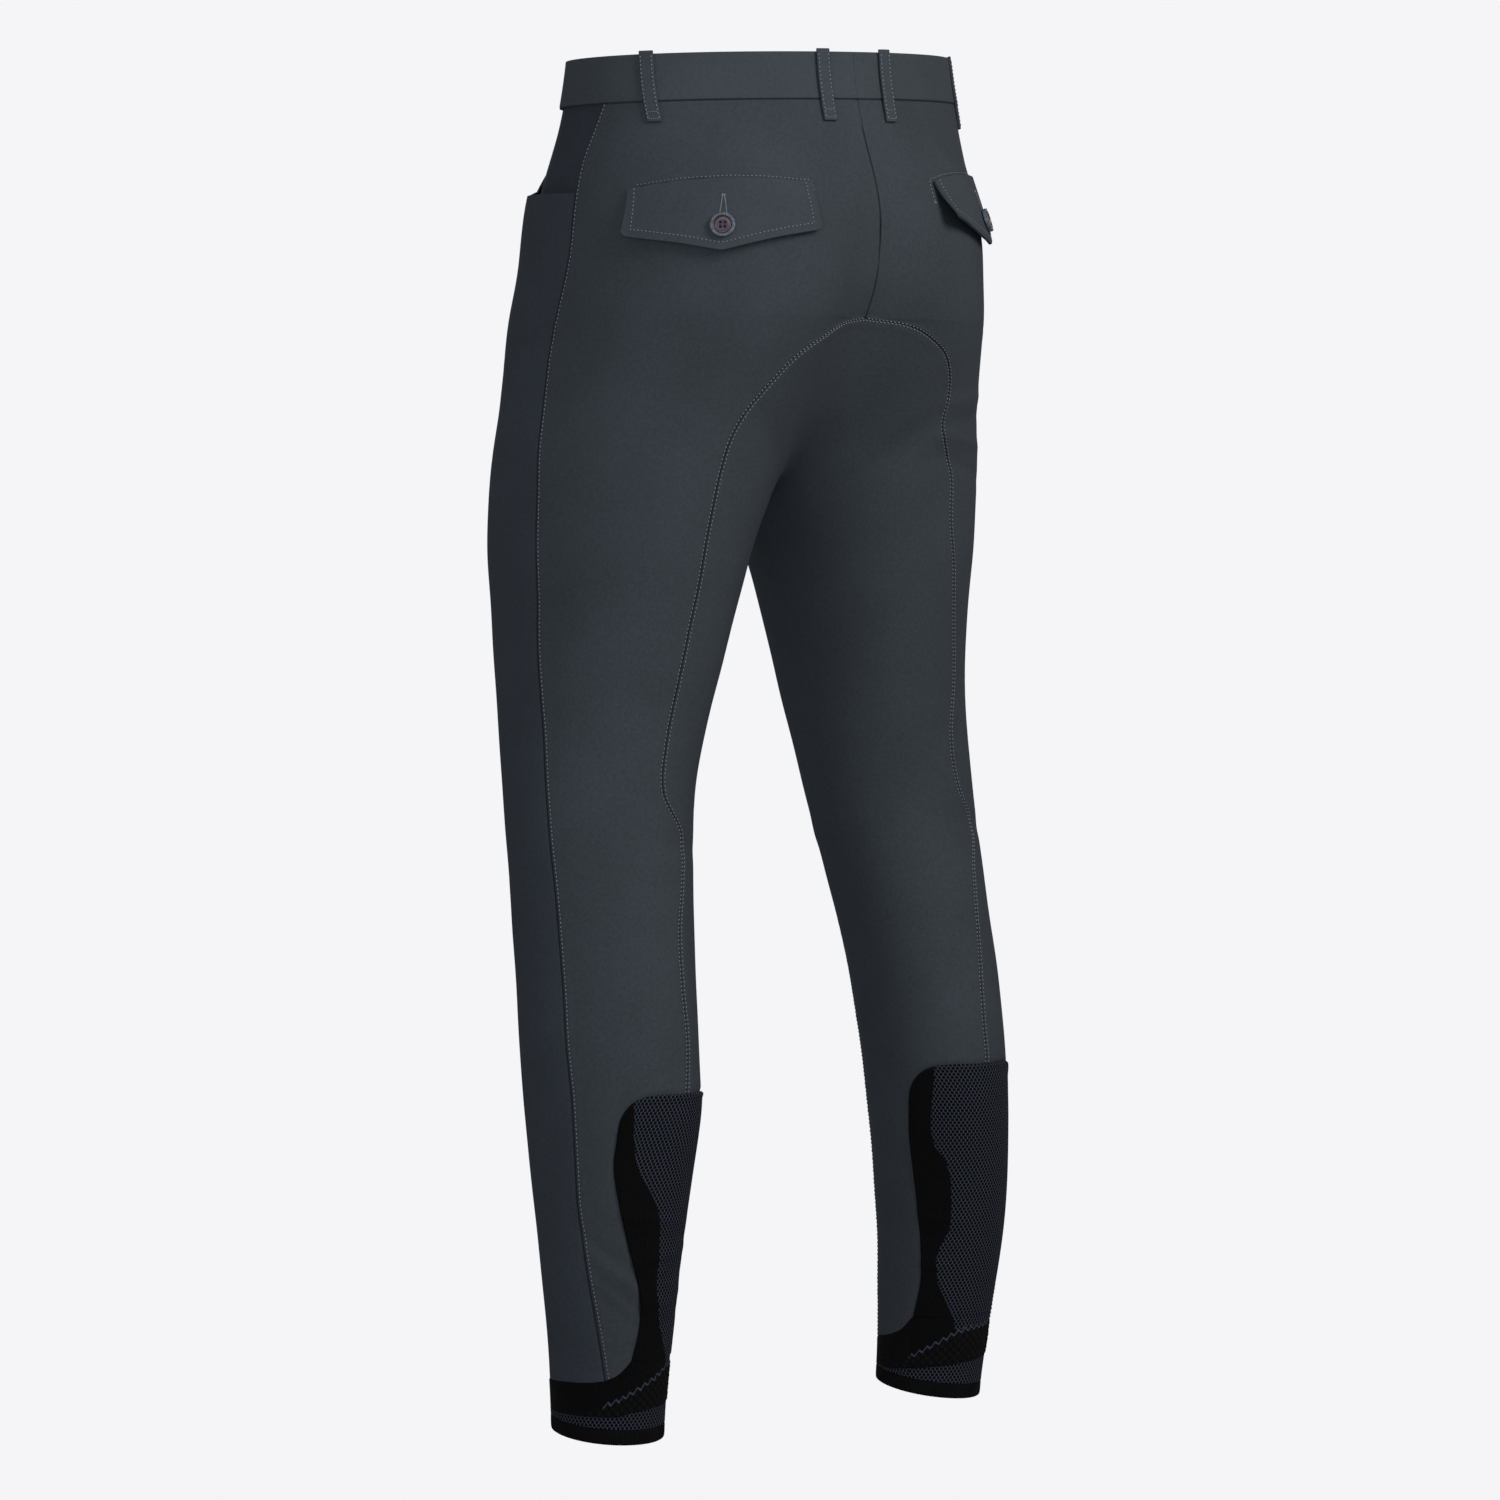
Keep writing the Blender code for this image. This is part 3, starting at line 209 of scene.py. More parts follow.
LAMP_AIM = Vector((0, 0, -0.35))
LAMPS = (
    # name, place, size, watts, colour
    ("key", (-0.30, 2.10, 0.95), 1.1, 38.0, "fffbf7"),
    ("fill", (1.51, 1.45, -0.2), 1.1, 7.0, "fbfcff"),
    ("side", (2.2, 0.6, 0.5), 1.0, 9.0, "fbfcff"),
    ("front", (-1.6, -2.1, 0.6), 1.4, 26.0, "fbfcff"),
)
for name, place, size, watts, tint in LAMPS:
    lamp = bpy.data.lights.new(name, "AREA")
    lamp.size = size
    lamp.energy = watts
    lamp.color = linear(tint)[:3]
    # The side light only opens the shade between the legs.
    lamp.use_shadow = name != "side"
    holder = new_object(name, lamp)
    holder.location = place
    holder.rotation_euler = (LAMP_AIM - holder.location).to_track_quat("-Z", "Y").to_euler()
    holder.visible_camera = False
print("camera", lens.lens, "mm lens;", len(LAMPS), "lamps")

# %% [markdown]
# ## The skin
# Stretch cloth lies close to the body, so its shape is a body shape: at each height every leg is
# an oval with its own middle, widths and turn, and near the hips the two ovals melt into one.
# The table is the same one that the solid panels were cut from. A place on the skin is an angle
# round the leg, from the back over the outer side, and a height.

# %% Section table of the figure
SECTION_COLUMNS = ("height", "centre_x", "centre_y", "half_width", "depth_back", "depth_front",
                   "turn", "power_back", "power_front", "blend")
SECTIONS = (
    (25, 0, 2, 151, 109, 109, 0, 2.1, 2.1, 0),
    (0, 1, 2, 153, 111, 112, 0, 2.1, 2.1, 0),
    (-40, 12, 1, 147, 121, 118, 0, 2.1, 2.15, 8),
    (-67, 24, 0, 140, 133, 124, 0, 2.05, 2.2, 14),
    (-90, 33, 0, 135, 142, 128, 0, 1.95, 2.25, 20),
    (-120, 45, 0, 125, 148, 132, 0, 1.85, 2.25, 26),
    (-140, 49, -3, 123, 151, 132, 1, 1.82, 2.2, 30),
    (-167, 60, -10, 115, 153, 131, 2, 1.85, 2.15, 34),
    (-200, 70, -16, 109, 145, 124, 4, 1.9, 2.1, 40),
    (-235, 81, -20, 103, 132, 119, 6, 1.95, 2.05, 46),
    (-265, 92, -20, 98, 120, 116, 8, 2.0, 2.0, 48),
    (-295, 101, -20, 90, 114, 114, 10, 2.0, 2.0, 46),
    (-335, 111, -20, 81, 107, 107, 12, 2.0, 2.0, 40),
    (-375, 116, -20, 74, 99, 99, 14, 2.0, 2.0, 30),
    (-415, 121, -20, 69, 91.5, 91.5, 15, 2.0, 2.0, 20),
    (-455, 126.5, -19, 65.5, 83, 83, 16, 2.0, 2.0, 10),
    (-495, 132.5, -15.7, 63.2, 75.5, 75.5, 17, 2.0, 2.0, 5),
    (-535, 137, -10, 61, 71.3, 71.3, 18, 2.0, 2.0, 5),
    (-575, 141, -2, 58.3, 70, 70, 18, 2.0, 2.0, 5),
    (-615, 145, 6, 55.2, 70, 70, 18, 2.0, 2.0, 5),
    (-655, 148, 14, 53.4, 69.8, 69.8, 18, 2.0, 2.0, 5),
    (-695, 150, 19.5, 51.8, 70, 70, 18, 2.0, 2.0, 5),
    (-735, 151, 24.5, 50.2, 69.5, 69.5, 18, 2.0, 2.0, 5),
    (-775, 153, 26, 48.9, 63.5, 63.5, 18, 2.0, 2.0, 5),
    (-815, 154, 26.5, 47.7, 56.5, 56.5, 18, 2.0, 2.0, 5),
    (-855, 154, 25.5, 45.4, 51, 51, 18, 2.0, 2.0, 5),
    (-895, 152.3, 23, 42.8, 46.5, 46.5, 18, 2.0, 2.0, 5),
    (-935, 151, 19.8, 40, 43, 43, 18, 2.0, 2.0, 5),
    (-955, 150, 18, 39, 41.7, 41.7, 18, 2.0, 2.0, 5),
    (-985, 149, 16, 38.5, 41, 41, 18, 2.0, 2.0, 5),
)


# %% Reading the table
def hermite(at, levels, values):
    """Smooth curve through values at rising levels, read at places."""
    slopes = np.gradient(values, levels)
    at = np.clip(at, levels[0], levels[-1])
    k = np.clip(np.searchsorted(levels, at) - 1, 0, len(levels) - 2)
    width = levels[k + 1] - levels[k]
    return between((at - levels[k]) / width, values[k], values[k + 1], width * slopes[k],
                   width * slopes[k + 1])


# The table is read every 2 mm and averaged over about a centimetre, so that no row shows.
SECTION_STEP, BLUR_WIDTH, BLUR_STEPS = 2.0, 11.0, 16
SECTION_LEVELS = np.arange(-989.0, 30.0, SECTION_STEP)
blur = np.exp(-(np.arange(-BLUR_STEPS, BLUR_STEPS + 1) * SECTION_STEP / BLUR_WIDTH) ** 2 / 2)
section_rows = np.array(SECTIONS, float)[::-1].T
SECTION_LINES = {}
for name, column in zip(SECTION_COLUMNS[1:], section_rows[1:]):
    line = np.pad(hermite(SECTION_LEVELS, section_rows[0], column), BLUR_STEPS, mode="edge")
    SECTION_LINES[name] = np.convolve(line, blur / blur.sum(), "valid")


def sections_at(height):
    """Every column of the section table at heights in metres, lengths in metres."""
    read = {name: hermite(height, SECTION_LEVELS * MM, line)
            for name, line in SECTION_LINES.items()}
    for name in ("centre_x", "centre_y", "half_width", "depth_back", "depth_front", "blend"):
        read[name] = read[name] * MM
    read["turn"] = np.radians(read["turn"])
    read["blend"] = np.maximum(read["blend"], 0.1 * MM)
    return read


def leg_distance(x, y, cut, side):
    """Signed distance along a ray from its axis to one leg's oval."""
    dx, dy = side * x - cut["centre_x"], y - cut["centre_y"]
    across = dx * np.cos(cut["turn"]) + dy * np.sin(cut["turn"])
    along = -dx * np.sin(cut["turn"]) + dy * np.cos(cut["turn"])
    depth = np.where(along > 0, cut["depth_back"], cut["depth_front"])
    power = np.where(along > 0, cut["power_back"], cut["power_front"])
    gauge = (np.abs(across / cut["half_width"]) ** power
             + np.abs(along / depth) ** power) ** (1 / power) + 1e-9
    return np.hypot(across, along) * (1 - 1 / gauge)


def skin_distance(x, y, cut):
    """Both legs melted together: below zero inside the figure."""
    left, right = leg_distance(x, y, cut, 1), leg_distance(x, y, cut, -1)
    near = np.maximum(cut["blend"] - np.abs(left - right), 0) / cut["blend"]
    return np.minimum(left, right) - near * near * cut["blend"] / 4


# %% Points of the skin
RAY_REACH, RAY_HALVINGS = 0.36, 24
NORMAL_STEP = 0.4 * MM
# The waist sits a little aslant on the body: higher on the right hip.
WAIST_TILT = {"by_x": -0.0415, "by_y": -0.015, "lift": 3.4 * MM, "from": -60 * MM, "whole": -17 * MM}


def waist_rise(points, height):
    """How far the slant of the waist lifts points of the skin."""
    share = np.clip((height - WAIST_TILT["from"]) / (WAIST_TILT["whole"] - WAIST_TILT["from"]), 0, 1)
    slant = WAIST_TILT["by_x"] * points[..., 0] + WAIST_TILT["by_y"] * points[..., 1]
    return (slant + WAIST_TILT["lift"]) * eased(share)


def skin_points(side, angle, height, own_side=True):
    """Points and outward normals of the skin at angles and heights, for arrays of both."""
    angle, height = np.broadcast_arrays(np.asarray(angle, float), np.asarray(height, float))
    cut = sections_at(height)
    way_x, way_y = side * np.sin(angle), np.cos(angle)
    start_x, start_y = side * cut["centre_x"], cut["centre_y"]
    # A ray that points inwards ends at the mid plane, short of the other leg.
    inward = side * way_x < -1e-6
    to_plane = np.abs(start_x) / np.maximum(np.abs(way_x), 1e-6)
    far = np.where(inward & own_side, np.minimum(to_plane, RAY_REACH), RAY_REACH)
    near = halve(lambda reach: skin_distance(start_x + way_x * reach, start_y + way_y * reach,
                                             cut) < 0, np.zeros_like(height), far, RAY_HALVINGS)[0]
    x, y, step = start_x + way_x * near, start_y + way_y * near, NORMAL_STEP
    points = np.stack([x, y, height], -1)
    normals = np.stack([skin_distance(x + step, y, cut) - skin_distance(x - step, y, cut),
                        skin_distance(x, y + step, cut) - skin_distance(x, y - step, cut),
                        skin_distance(x, y, sections_at(height + step))
                        - skin_distance(x, y, sections_at(height - step))], -1)
    points[..., 2] += waist_rise(points, height)
    return points, normals / np.linalg.norm(normals, axis=-1, keepdims=True)


# %% Measuring round the figure
CENTRE_REACH, CENTRE_HALVINGS = 0.30, 30
ROUND_SAMPLES = 181


def centre_angle(height, front):
    """Angle at which the skin meets the mid plane, behind or in front."""
    cut = sections_at(np.array(height))
    depth = halve(lambda depth: skin_distance(0.0, depth, cut) < 0, 0.0,
                  -CENTRE_REACH if front else CENTRE_REACH, CENTRE_HALVINGS)[0]
    angle = math.atan2(-cut["centre_x"], depth - cut["centre_y"])
    return angle % (2 * math.pi) if front else angle


def arc_angles(side, heights, arcs):
    """Angles at arc lengths from the centre back or, below zero, short of the centre front."""
    heights, arcs = np.broadcast_arrays(heights, arcs)
    found = np.zeros(heights.shape)
    for level in np.unique(heights):
        angles = np.linspace(centre_angle(level, False), centre_angle(level, True), ROUND_SAMPLES)
        run = lengths(skin_points(side, angles, level)[0])
        here = heights == level
        wanted = np.where(arcs[here] >= 0, arcs[here], run[-1] + arcs[here])
        found[here] = np.interp(wanted, run, angles)
    return found


print("waist:", round(2 * float(np.abs(skin_points(1, math.pi / 2, 0.0)[0][0])) * 1000), "mm wide")

# %% [markdown]
# ## The cutting lines
# Each half of the garment is ruled with rows from waist to ankle and with columns round the leg.
# Seams are columns whose angle changes with height, so panels that share a seam share its points.
# The front pocket's mouth and the knitted tongue's round top bend the rows to their own shape.

# %% Rows, seams and edges
ROW_COLUMNS = ("back", "side", "front", "inner")
ROWS = (
    (-17, -17, -17, None),
    (-40, -39, -48, None),
    (-66, -61, -84, None),
    (-93, -84, -125, None),
    (-120, -112, -160, None),
    (-147, -140, -198, None),
    (-172, -172, -235, None),
    (-176, -186, -243, -304),
    (-186, -202, -253, -311),
    (-200, -221, -267, -320),
    (-222, -244, -285, -332),
    (-250, -270, -305, -347),
    (-282, -298, -328, -364),
    (-318, -330, -354, -384),
    (-356, -366, -382, -407),
    (-396, -402, -414, -433),
    (-436, -440, -448, -462),
    (-476, -478, -484, -493),
    (-512, -512, -516, -522),
    (-542, -542, -545, -548),
    (-574, -574, -576, -577),
    (-610, -610, -610, -610),
    (-648, -648, -648, -648),
    (-685, -685, -685, -685),
    (-720, -742, -742, -742),
    (-772, -772, -772, -772),
    (-798, -798, -798, -798),
    (-826, -826, -826, -826),
    (-856, -856, -856, -856),
    (-884, -884, -884, -884),
    (-911, -927, -931, -926),
)
POCKET_ROW, SEAT_ROW, TONGUE_ROW, ANKLE_ROW = 3, 6, 24, len(ROWS) - 1
EVEN_AFTER = 7
TONGUE_OUT, SIDE, FRONT, TONGUE_IN, ROUND = 4, 9, 19, 25, 30
POCKET_EDGE = SIDE + 5
KNIT_DROP = {"left": 3.0 * MM, "right": -3.0 * MM}
KNIT_DROP_FROM, KNIT_DROP_FULL = -0.640, -0.720

# Seams as (height, angle), in millimetres and degrees.
SEAT_SEAM = {
    "left": ((-176, -16), (-186, -9), (-200, -2.5), (-222, 2), (-250, 5.5), (-282, 4.5), (-318, 2),
             (-356, 0), (-436, -0.5), (-495, -1), (-512, -3.5), (-530, -11), (-545, -22), (-558, -24),
             (-576, -19), (-610, -15), (-648, -15), (-685, -17), (-720, -14), (-800, -10),
             (-911, -22)),
    "right": ((-176, -12), (-186, -4), (-200, 2), (-222, 4), (-240, 2.5), (-252, 1.5), (-276, 6),
              (-298, 1), (-318, 3), (-374, 6), (-440, 9.5), (-486, 4.5), (-505, 5.5), (-527, 16),
              (-540, 22), (-560, 15), (-588, 11), (-610, 6), (-648, 0), (-685, -3), (-720, -4),
              (-800, -8), (-911, -22)),
}
SIDE_SEAM = ((-17, 83.5), (-60, 88), (-100, 89.5), (-198, 89), (-240, 86), (-294, 84.5), (-408, 84),
             (-454, 79), (-486, 74.5), (-586, 71), (-692, 72), (-742, 70), (-798, 66), (-856, 55),
             (-927, 40))
FRONT_SEAM = ((-243, 208), (-260, 203), (-300, 198), (-360, 197), (-450, 201), (-560, 207),
              (-685, 214), (-742, 217), (-856, 222), (-931, 222))
TONGUE_EDGE_OUT = {
    "left": ((-745, 31), (-757, 35), (-778, 34.5), (-798, 30), (-816, 25.5), (-834, 20),
             (-856, 12.5), (-884, 9), (-911, 15)),
    "right": ((-745, 48), (-757, 54), (-778, 55), (-798, 53), (-816, 50), (-834, 46.5), (-856, 42),
              (-884, 38.5), (-911, 36)),
}
TONGUE_EDGE_IN = ((-745, 301), (-757, 297), (-778, 296), (-798, 297.5), (-836, 301), (-860, 303.5),
                  (-892, 305), (-911, 299))
TONGUE_TOP = -720 * MM
TONGUE_CORNER = 30 * MM
TONGUE_LEVEL_TO, TONGUE_CORNER_SPREAD = 0.45, 0.8
ANKLE_EDGE = ((0, 911), (0.16, 921), (0.4, 927), (1, 932))
POCKET_REACH, POCKET_DROP, POCKET_POWER = 112 * MM, 66 * MM, 7


def seam_angle(table, height):
    """Angle of a seam at heights in metres, in radians."""
    line = np.array(table, float)[::-1]
    return np.radians(np.interp(height, line[:, 0] * MM, line[:, 1]))


# %% Ruling one half
def row_stations(name, row):
    """(angle, height) of a row at the columns where it meets a seam or an edge."""
    levels = dict(zip(ROW_COLUMNS, ROWS[row]))
    back, at_side, front = (levels[place] * MM for place in ("back", "side", "front"))
    if row <= SEAT_ROW:
        found = {0: (centre_angle(back, False), back), FRONT: (centre_angle(front, True), front)}
    else:
        found = {0: (seam_angle(SEAT_SEAM[name], back), back),
                 FRONT: (seam_angle(FRONT_SEAM, front), front)}
    found[SIDE] = (seam_angle(SIDE_SEAM, at_side), at_side)
    found[ROUND] = (found[0][0] + 2 * np.pi, back)
    if row >= TONGUE_ROW:
        level = TONGUE_TOP - TONGUE_CORNER if row == TONGUE_ROW else back
        found[TONGUE_OUT] = (seam_angle(TONGUE_EDGE_OUT[name], level), level)
        found[TONGUE_IN] = (seam_angle(TONGUE_EDGE_IN, level), level)
        return found
    goal = row_stations(name, TONGUE_ROW)
    for column, (start, end) in ((TONGUE_OUT, (0, SIDE)), (TONGUE_IN, (FRONT, ROUND))):
        share = (goal[column][0] - goal[start][0]) / (goal[end][0] - goal[start][0])
        found[column] = tuple(a + (b - a) * share for a, b in zip(found[start], found[end]))
    return found


def tongue_top_level(share):
    """Level of the tongue's top edge, from its middle (0) to its rounded corner (1)."""
    along = np.clip((share - TONGUE_LEVEL_TO) / (1 - TONGUE_LEVEL_TO), 0, 1)
    return TONGUE_TOP - TONGUE_CORNER * (1 - np.sqrt(1 - along ** 2))


# %% Rows under the crotch
FORK_FLOOR, FORK_HALVINGS, FORK_SAMPLES = -0.34, 32, 121


def plane_depth(angles, cut):
    """Where rays at these angles meet the mid plane, measured front to back."""
    return cut["centre_y"] + cut["centre_x"] / np.abs(np.sin(angles)) * np.cos(angles)


def crotch_heights(angles):
    """Levels at which rays at these angles meet the mid plane on the skin."""
    def inside(level):
        cut = sections_at(level)
        return skin_distance(0.0, plane_depth(angles, cut), cut) < 0

    seat = np.full(np.shape(angles), ROWS[SEAT_ROW][0] * MM)
    high, low = halve(inside, seat, FORK_FLOOR, FORK_HALVINGS)
    return (high + low) / 2


def sag_inner_leg(angles, heights):
    """Rows under the crotch hang from their two seams along the figure's fork."""
    columns = np.arange(FRONT, ROUND + 1)
    even = (columns - FRONT) / (ROUND - FRONT)
    first, last = angles[SEAT_ROW, FRONT], angles[SEAT_ROW, ROUND]
    fine = np.linspace(first, last, FORK_SAMPLES)
    level = crotch_heights(fine)
    level[0], level[-1] = heights[SEAT_ROW, FRONT], heights[SEAT_ROW, ROUND]
    run = lengths(np.stack([plane_depth(fine, sections_at(level)), level], -1))
    fork_angle = np.interp(even * run[-1], run, fine)
    fork = np.interp(fork_angle, fine, level)
    fork_share = (fork_angle - first) / (last - first)
    sag = fork - (fork[0] + (fork[-1] - fork[0]) * fork_share)
    deepest = np.argmin(fork)
    angles[SEAT_ROW, columns], heights[SEAT_ROW, columns] = fork_angle, fork
    for row in range(SEAT_ROW + 1, TONGUE_ROW):
        ease = min((row - SEAT_ROW) / EVEN_AFTER, 1)
        share = fork_share * (1 - ease) + even * ease
        straight = heights[row, FRONT] + (heights[row, ROUND] - heights[row, FRONT]) * share
        drop = ROWS[row][ROW_COLUMNS.index("inner")] * MM - straight[deepest]
        heights[row, columns] = straight + sag / sag[deepest] * drop
        first, last = angles[row, FRONT], angles[row, ROUND]
        angles[row, columns] = first + (last - first) * share


# %% Pocket rows and the whole ruling
def pocket_place(over, down):
    """Spread a unit square over a quarter of the pocket's squarish oval."""
    return (over * (1 - down ** POCKET_POWER / 2) ** (1 / POCKET_POWER),
            down * (1 - over ** POCKET_POWER / 2) ** (1 / POCKET_POWER))


def pocket_angle(side, level, reach):
    """Angle at an arc length forward of the side seam."""
    start = seam_angle(SIDE_SEAM, level)
    point = skin_points(side, start, level)[0]
    cut = sections_at(np.asarray(level, float))
    radius = np.hypot(point[..., 0] - side * cut["centre_x"], point[..., 1] - cut["centre_y"])
    return start + reach / radius


def half_grid(name):
    """Angles and heights of one half at whole rows and columns."""
    side = SIDES[name]
    angles = np.zeros((len(ROWS), ROUND + 1))
    heights = np.zeros_like(angles)
    columns = (0, TONGUE_OUT, SIDE, FRONT, TONGUE_IN, ROUND)
    for row in range(len(ROWS)):
        stations = row_stations(name, row)
        for start, end in zip(columns[:-1], columns[1:]):
            share = np.linspace(0, 1, end - start + 1)
            to_corner = {TONGUE_OUT: share, ROUND: 1 - share}.get(end)
            if row == TONGUE_ROW and to_corner is not None:
                to_corner = np.sin(to_corner * np.pi / 2) ** TONGUE_CORNER_SPREAD
                share = to_corner if end == TONGUE_OUT else 1 - to_corner
            here = slice(start, end + 1)
            for table, k in ((angles, 0), (heights, 1)):
                table[row, here] = stations[start][k] + (stations[end][k]
                                                         - stations[start][k]) * share
            if row == TONGUE_ROW and to_corner is not None:
                heights[row, here] = tongue_top_level(to_corner)
    share, level = np.array(ANKLE_EDGE).T
    for start, end in ((TONGUE_OUT, FRONT), (TONGUE_IN, FRONT)):
        step = 1 if end > start else -1
        edge = np.arange(start, end + step, step)
        heights[ANKLE_ROW, edge] = -np.interp(np.linspace(0, 1, len(edge)), share, level) * MM
    sag_inner_leg(angles, heights)
    top = ROWS[0][0] * MM
    for row in range(POCKET_ROW + 1):
        reach, drop = pocket_place(np.linspace(0, 1, POCKET_EDGE - SIDE + 1), row / POCKET_ROW)
        here = slice(SIDE, POCKET_EDGE + 1)
        heights[row, here] = top - POCKET_DROP * drop
        angles[row, here] = pocket_angle(side, heights[row, here], POCKET_REACH * reach)
        for table in (angles, heights):
            table[row, POCKET_EDGE:FRONT + 1] = np.linspace(
                table[row, POCKET_EDGE], table[row, FRONT], FRONT - POCKET_EDGE + 1)
    below = heights[SEAT_ROW + 1:]
    share = np.clip((KNIT_DROP_FROM - below) / (KNIT_DROP_FROM - KNIT_DROP_FULL), 0, 1)
    heights[SEAT_ROW + 1:] = below - KNIT_DROP[name] * share
    return angles, heights


# %% Reading the ruling between its rows and columns
ROW_BREAKS = (0, POCKET_ROW, SEAT_ROW, TONGUE_ROW, ANKLE_ROW)
COLUMN_BREAKS = (0, TONGUE_OUT, SIDE, POCKET_EDGE, FRONT, TONGUE_IN, ROUND)


def smooth_read(table, places, breaks):
    """Read rows of a table at fractional places, smooth inside each block between breaks."""
    table = np.asarray(table, float)
    made = np.zeros((len(places), *table.shape[1:]))
    for start, end in zip(breaks[:-1], breaks[1:]):
        here = (places >= start - 1e-9) & (places <= end + 1e-9)
        block = table[start:end + 1]
        slopes = np.gradient(block, axis=0)
        k = np.clip(np.floor(places[here]).astype(int), start, end - 1) - start
        t = (places[here] - start - k).reshape(-1, *[1] * (table.ndim - 1))
        made[here] = between(t, block[k], block[k + 1], slopes[k], slopes[k + 1])
    return made


RULING = {name: half_grid(name) for name in SIDES}
print("ruled:", [RULING[name][0].shape for name in SIDES])

# %% [markdown]
# ## Folds and turned edges
# Stretch jersey keeps few folds, and they are soft. The larger ones are listed one by one: each is a
# rounded ridge or trough with a place, a length, a width and a slope. Along every seam the cloth
# dips into the sewing and stands up a little over the turned allowance behind it, and the
# stitches gather it into tiny puckers.

# %% Fold table and edge shape
FOLD_COLUMNS = ("side", "angle", "height", "half_length", "half_width", "slope", "rise")
FOLDS = (
    ("right", 18, -228, 34, 5, 8, 1.5),
    ("right", 16, -243, 30, 4, 8, -1.3),
    ("right", 17, -258, 34, 5, -6, 1.4),
    ("right", 14, -276, 36, 5, -14, -1.2),
    ("left", -14, -262, 46, 8, 40, -1.6),
    ("right", -16, -262, 46, 8, 40, -1.6),
    ("left", -16, -548, 30, 7, 12, -1.3),
    ("right", 20, -540, 30, 7, -12, -1.3),
    ("left", 20, -860, 30, 6, 35, 1.0),
    ("left", 196, -560, 42, 9, 20, 1.4),
    ("right", 196, -560, 42, 9, 20, 1.4),
    ("left", 204, -262, 46, 8, 38, -1.6),
    ("right", 204, -262, 46, 8, 38, -1.6),
)


def fold_rise(side, angle, height, folds):
    """How far the folds of a table move the skin outwards at places."""
    rise = np.zeros(np.shape(height))
    half_width = sections_at(height)["half_width"]
    for row in folds:
        fold = dict(zip(FOLD_COLUMNS, row))
        if SIDES[fold["side"]] != side:
            continue
        turn = (np.degrees(angle) - fold["angle"] + 180) % 360 - 180
        across = np.radians(turn) * half_width
        up = height - fold["height"] * MM
        slope = math.radians(fold["slope"])
        along = across * math.cos(slope) + up * math.sin(slope)
        over = -across * math.sin(slope) + up * math.cos(slope)
        rise += (fold["rise"] * MM * bell(along, fold["half_length"] * MM)
                 * bell(over, fold["half_width"] * MM))
    return rise


# Waves as (along x, along y, along z, start), in radians per metre and radians.
WAVES = ((41, 13, 27, 0.4), (-23, 37, 33, 1.9), (17, -29, 71, 3.1), (63, 51, -19, 4.4),
         (-57, 31, 44, 5.2), (11, 19, 93, 0.9))


def uneven(points):
    """Slow unevenness of worn cloth, from -1 to 1, at wavelengths of 5 to 20 cm."""
    total = sum(np.sin(points @ np.array(wave[:3], float) + wave[3]) for wave in WAVES)
    return total / len(WAVES)


SEAM_DIP, SEAM_DIP_WIDTH = 0.55 * MM, 1.1 * MM
WELT, WELT_FROM, WELT_TO, WELT_SLOPE = 0.30 * MM, 1.2 * MM, 8.0 * MM, 1.6 * MM
PUCKER, PUCKER_WIDTH, PUCKER_LENGTH = 0.10 * MM, 7.0 * MM, 8.0 * MM
# The puckers come a little early or late: by how many radians, and how often per metre.
PUCKER_SWAY, SWAY_RATE = 2, 90


def seam_rise(distance, run, welted):
    """Height of the cloth at a distance from a seam; run is the place along it."""
    dip = -SEAM_DIP * bell(distance, SEAM_DIP_WIDTH)
    pucker = PUCKER * bell(distance, PUCKER_WIDTH) * np.sin(
        run * 2 * np.pi / PUCKER_LENGTH + PUCKER_SWAY * np.sin(run * SWAY_RATE))
    up = np.clip((distance - WELT_FROM / 2) / WELT_FROM, 0, 1)
    down = np.clip((WELT_TO - distance) / WELT_SLOPE, 0, 1)
    return dip + pucker + np.where(welted, WELT * eased(up) * eased(down), 0)


# %% [markdown]
# ## From a grid of points to a piece of cloth
# A piece starts as a grid of points on the skin. The points are moved out by the folds and the
# edge shapes, joined into faces, and given a UV map that measures along the cloth in metres, so
# that a knit keeps its scale. The wall comes from a Solidify modifier that grows inwards.


# %% Piece maker
def link(name, mesh, slot, *finishes):
    """Put a mesh in the scene as a named piece that rides on the garment."""
    piece = new_object(name, mesh)
    for finish in finishes:
        mesh.materials.append(finish)
    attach(piece, "root")
    return piece

# %% [markdown]
# ## The fine skin of each half
# All panels of one half are cut from one fine grid, so that they meet exactly. Its columns stand
# close together beside every seam, where the cloth dips and rises within millimetres, and wide
# apart between. First a plain grid is measured, then the columns are put at true distances.

# %% Fine grid
NEAR_SEAM = np.array([0.0, 0.45, 1.0, 1.7, 2.6, 3.8, 5.6, 8.0, 10.5]) * MM
COLUMN_CELLS = {(0, 4): 12, (4, 9): 15, (9, 14): 16, (14, 19): 14, (19, 25): 13, (25, 30): 11,
                (30, 34): 9}
ROW_CELLS, PLAIN_CELLS = 9, 8
# A panel narrower than this many of those strips has them squeezed together.
NARROW_STRIPS = 2.6
FORK_EASE_ROWS = 1.5
NEAR_ROWS = {POCKET_ROW: (0.02, 0.05, 0.09, 0.14), SEAT_ROW: (0.04, 0.1, 0.2),
             TONGUE_ROW: (0.012, 0.03, 0.055, 0.09, 0.13), ANKLE_ROW: (0.02, 0.05, 0.1)}


def fine_rows():
    """Fractional rows of the fine grid."""
    rows = set(np.round(np.linspace(0, ANKLE_ROW, ANKLE_ROW * ROW_CELLS + 1), 6))
    for row, shifts in NEAR_ROWS.items():
        rows |= {round(row + sign * shift, 6) for shift in shifts for sign in (-1, 1)}
    return np.array(sorted(row for row in rows if 0 <= row <= ANKLE_ROW))


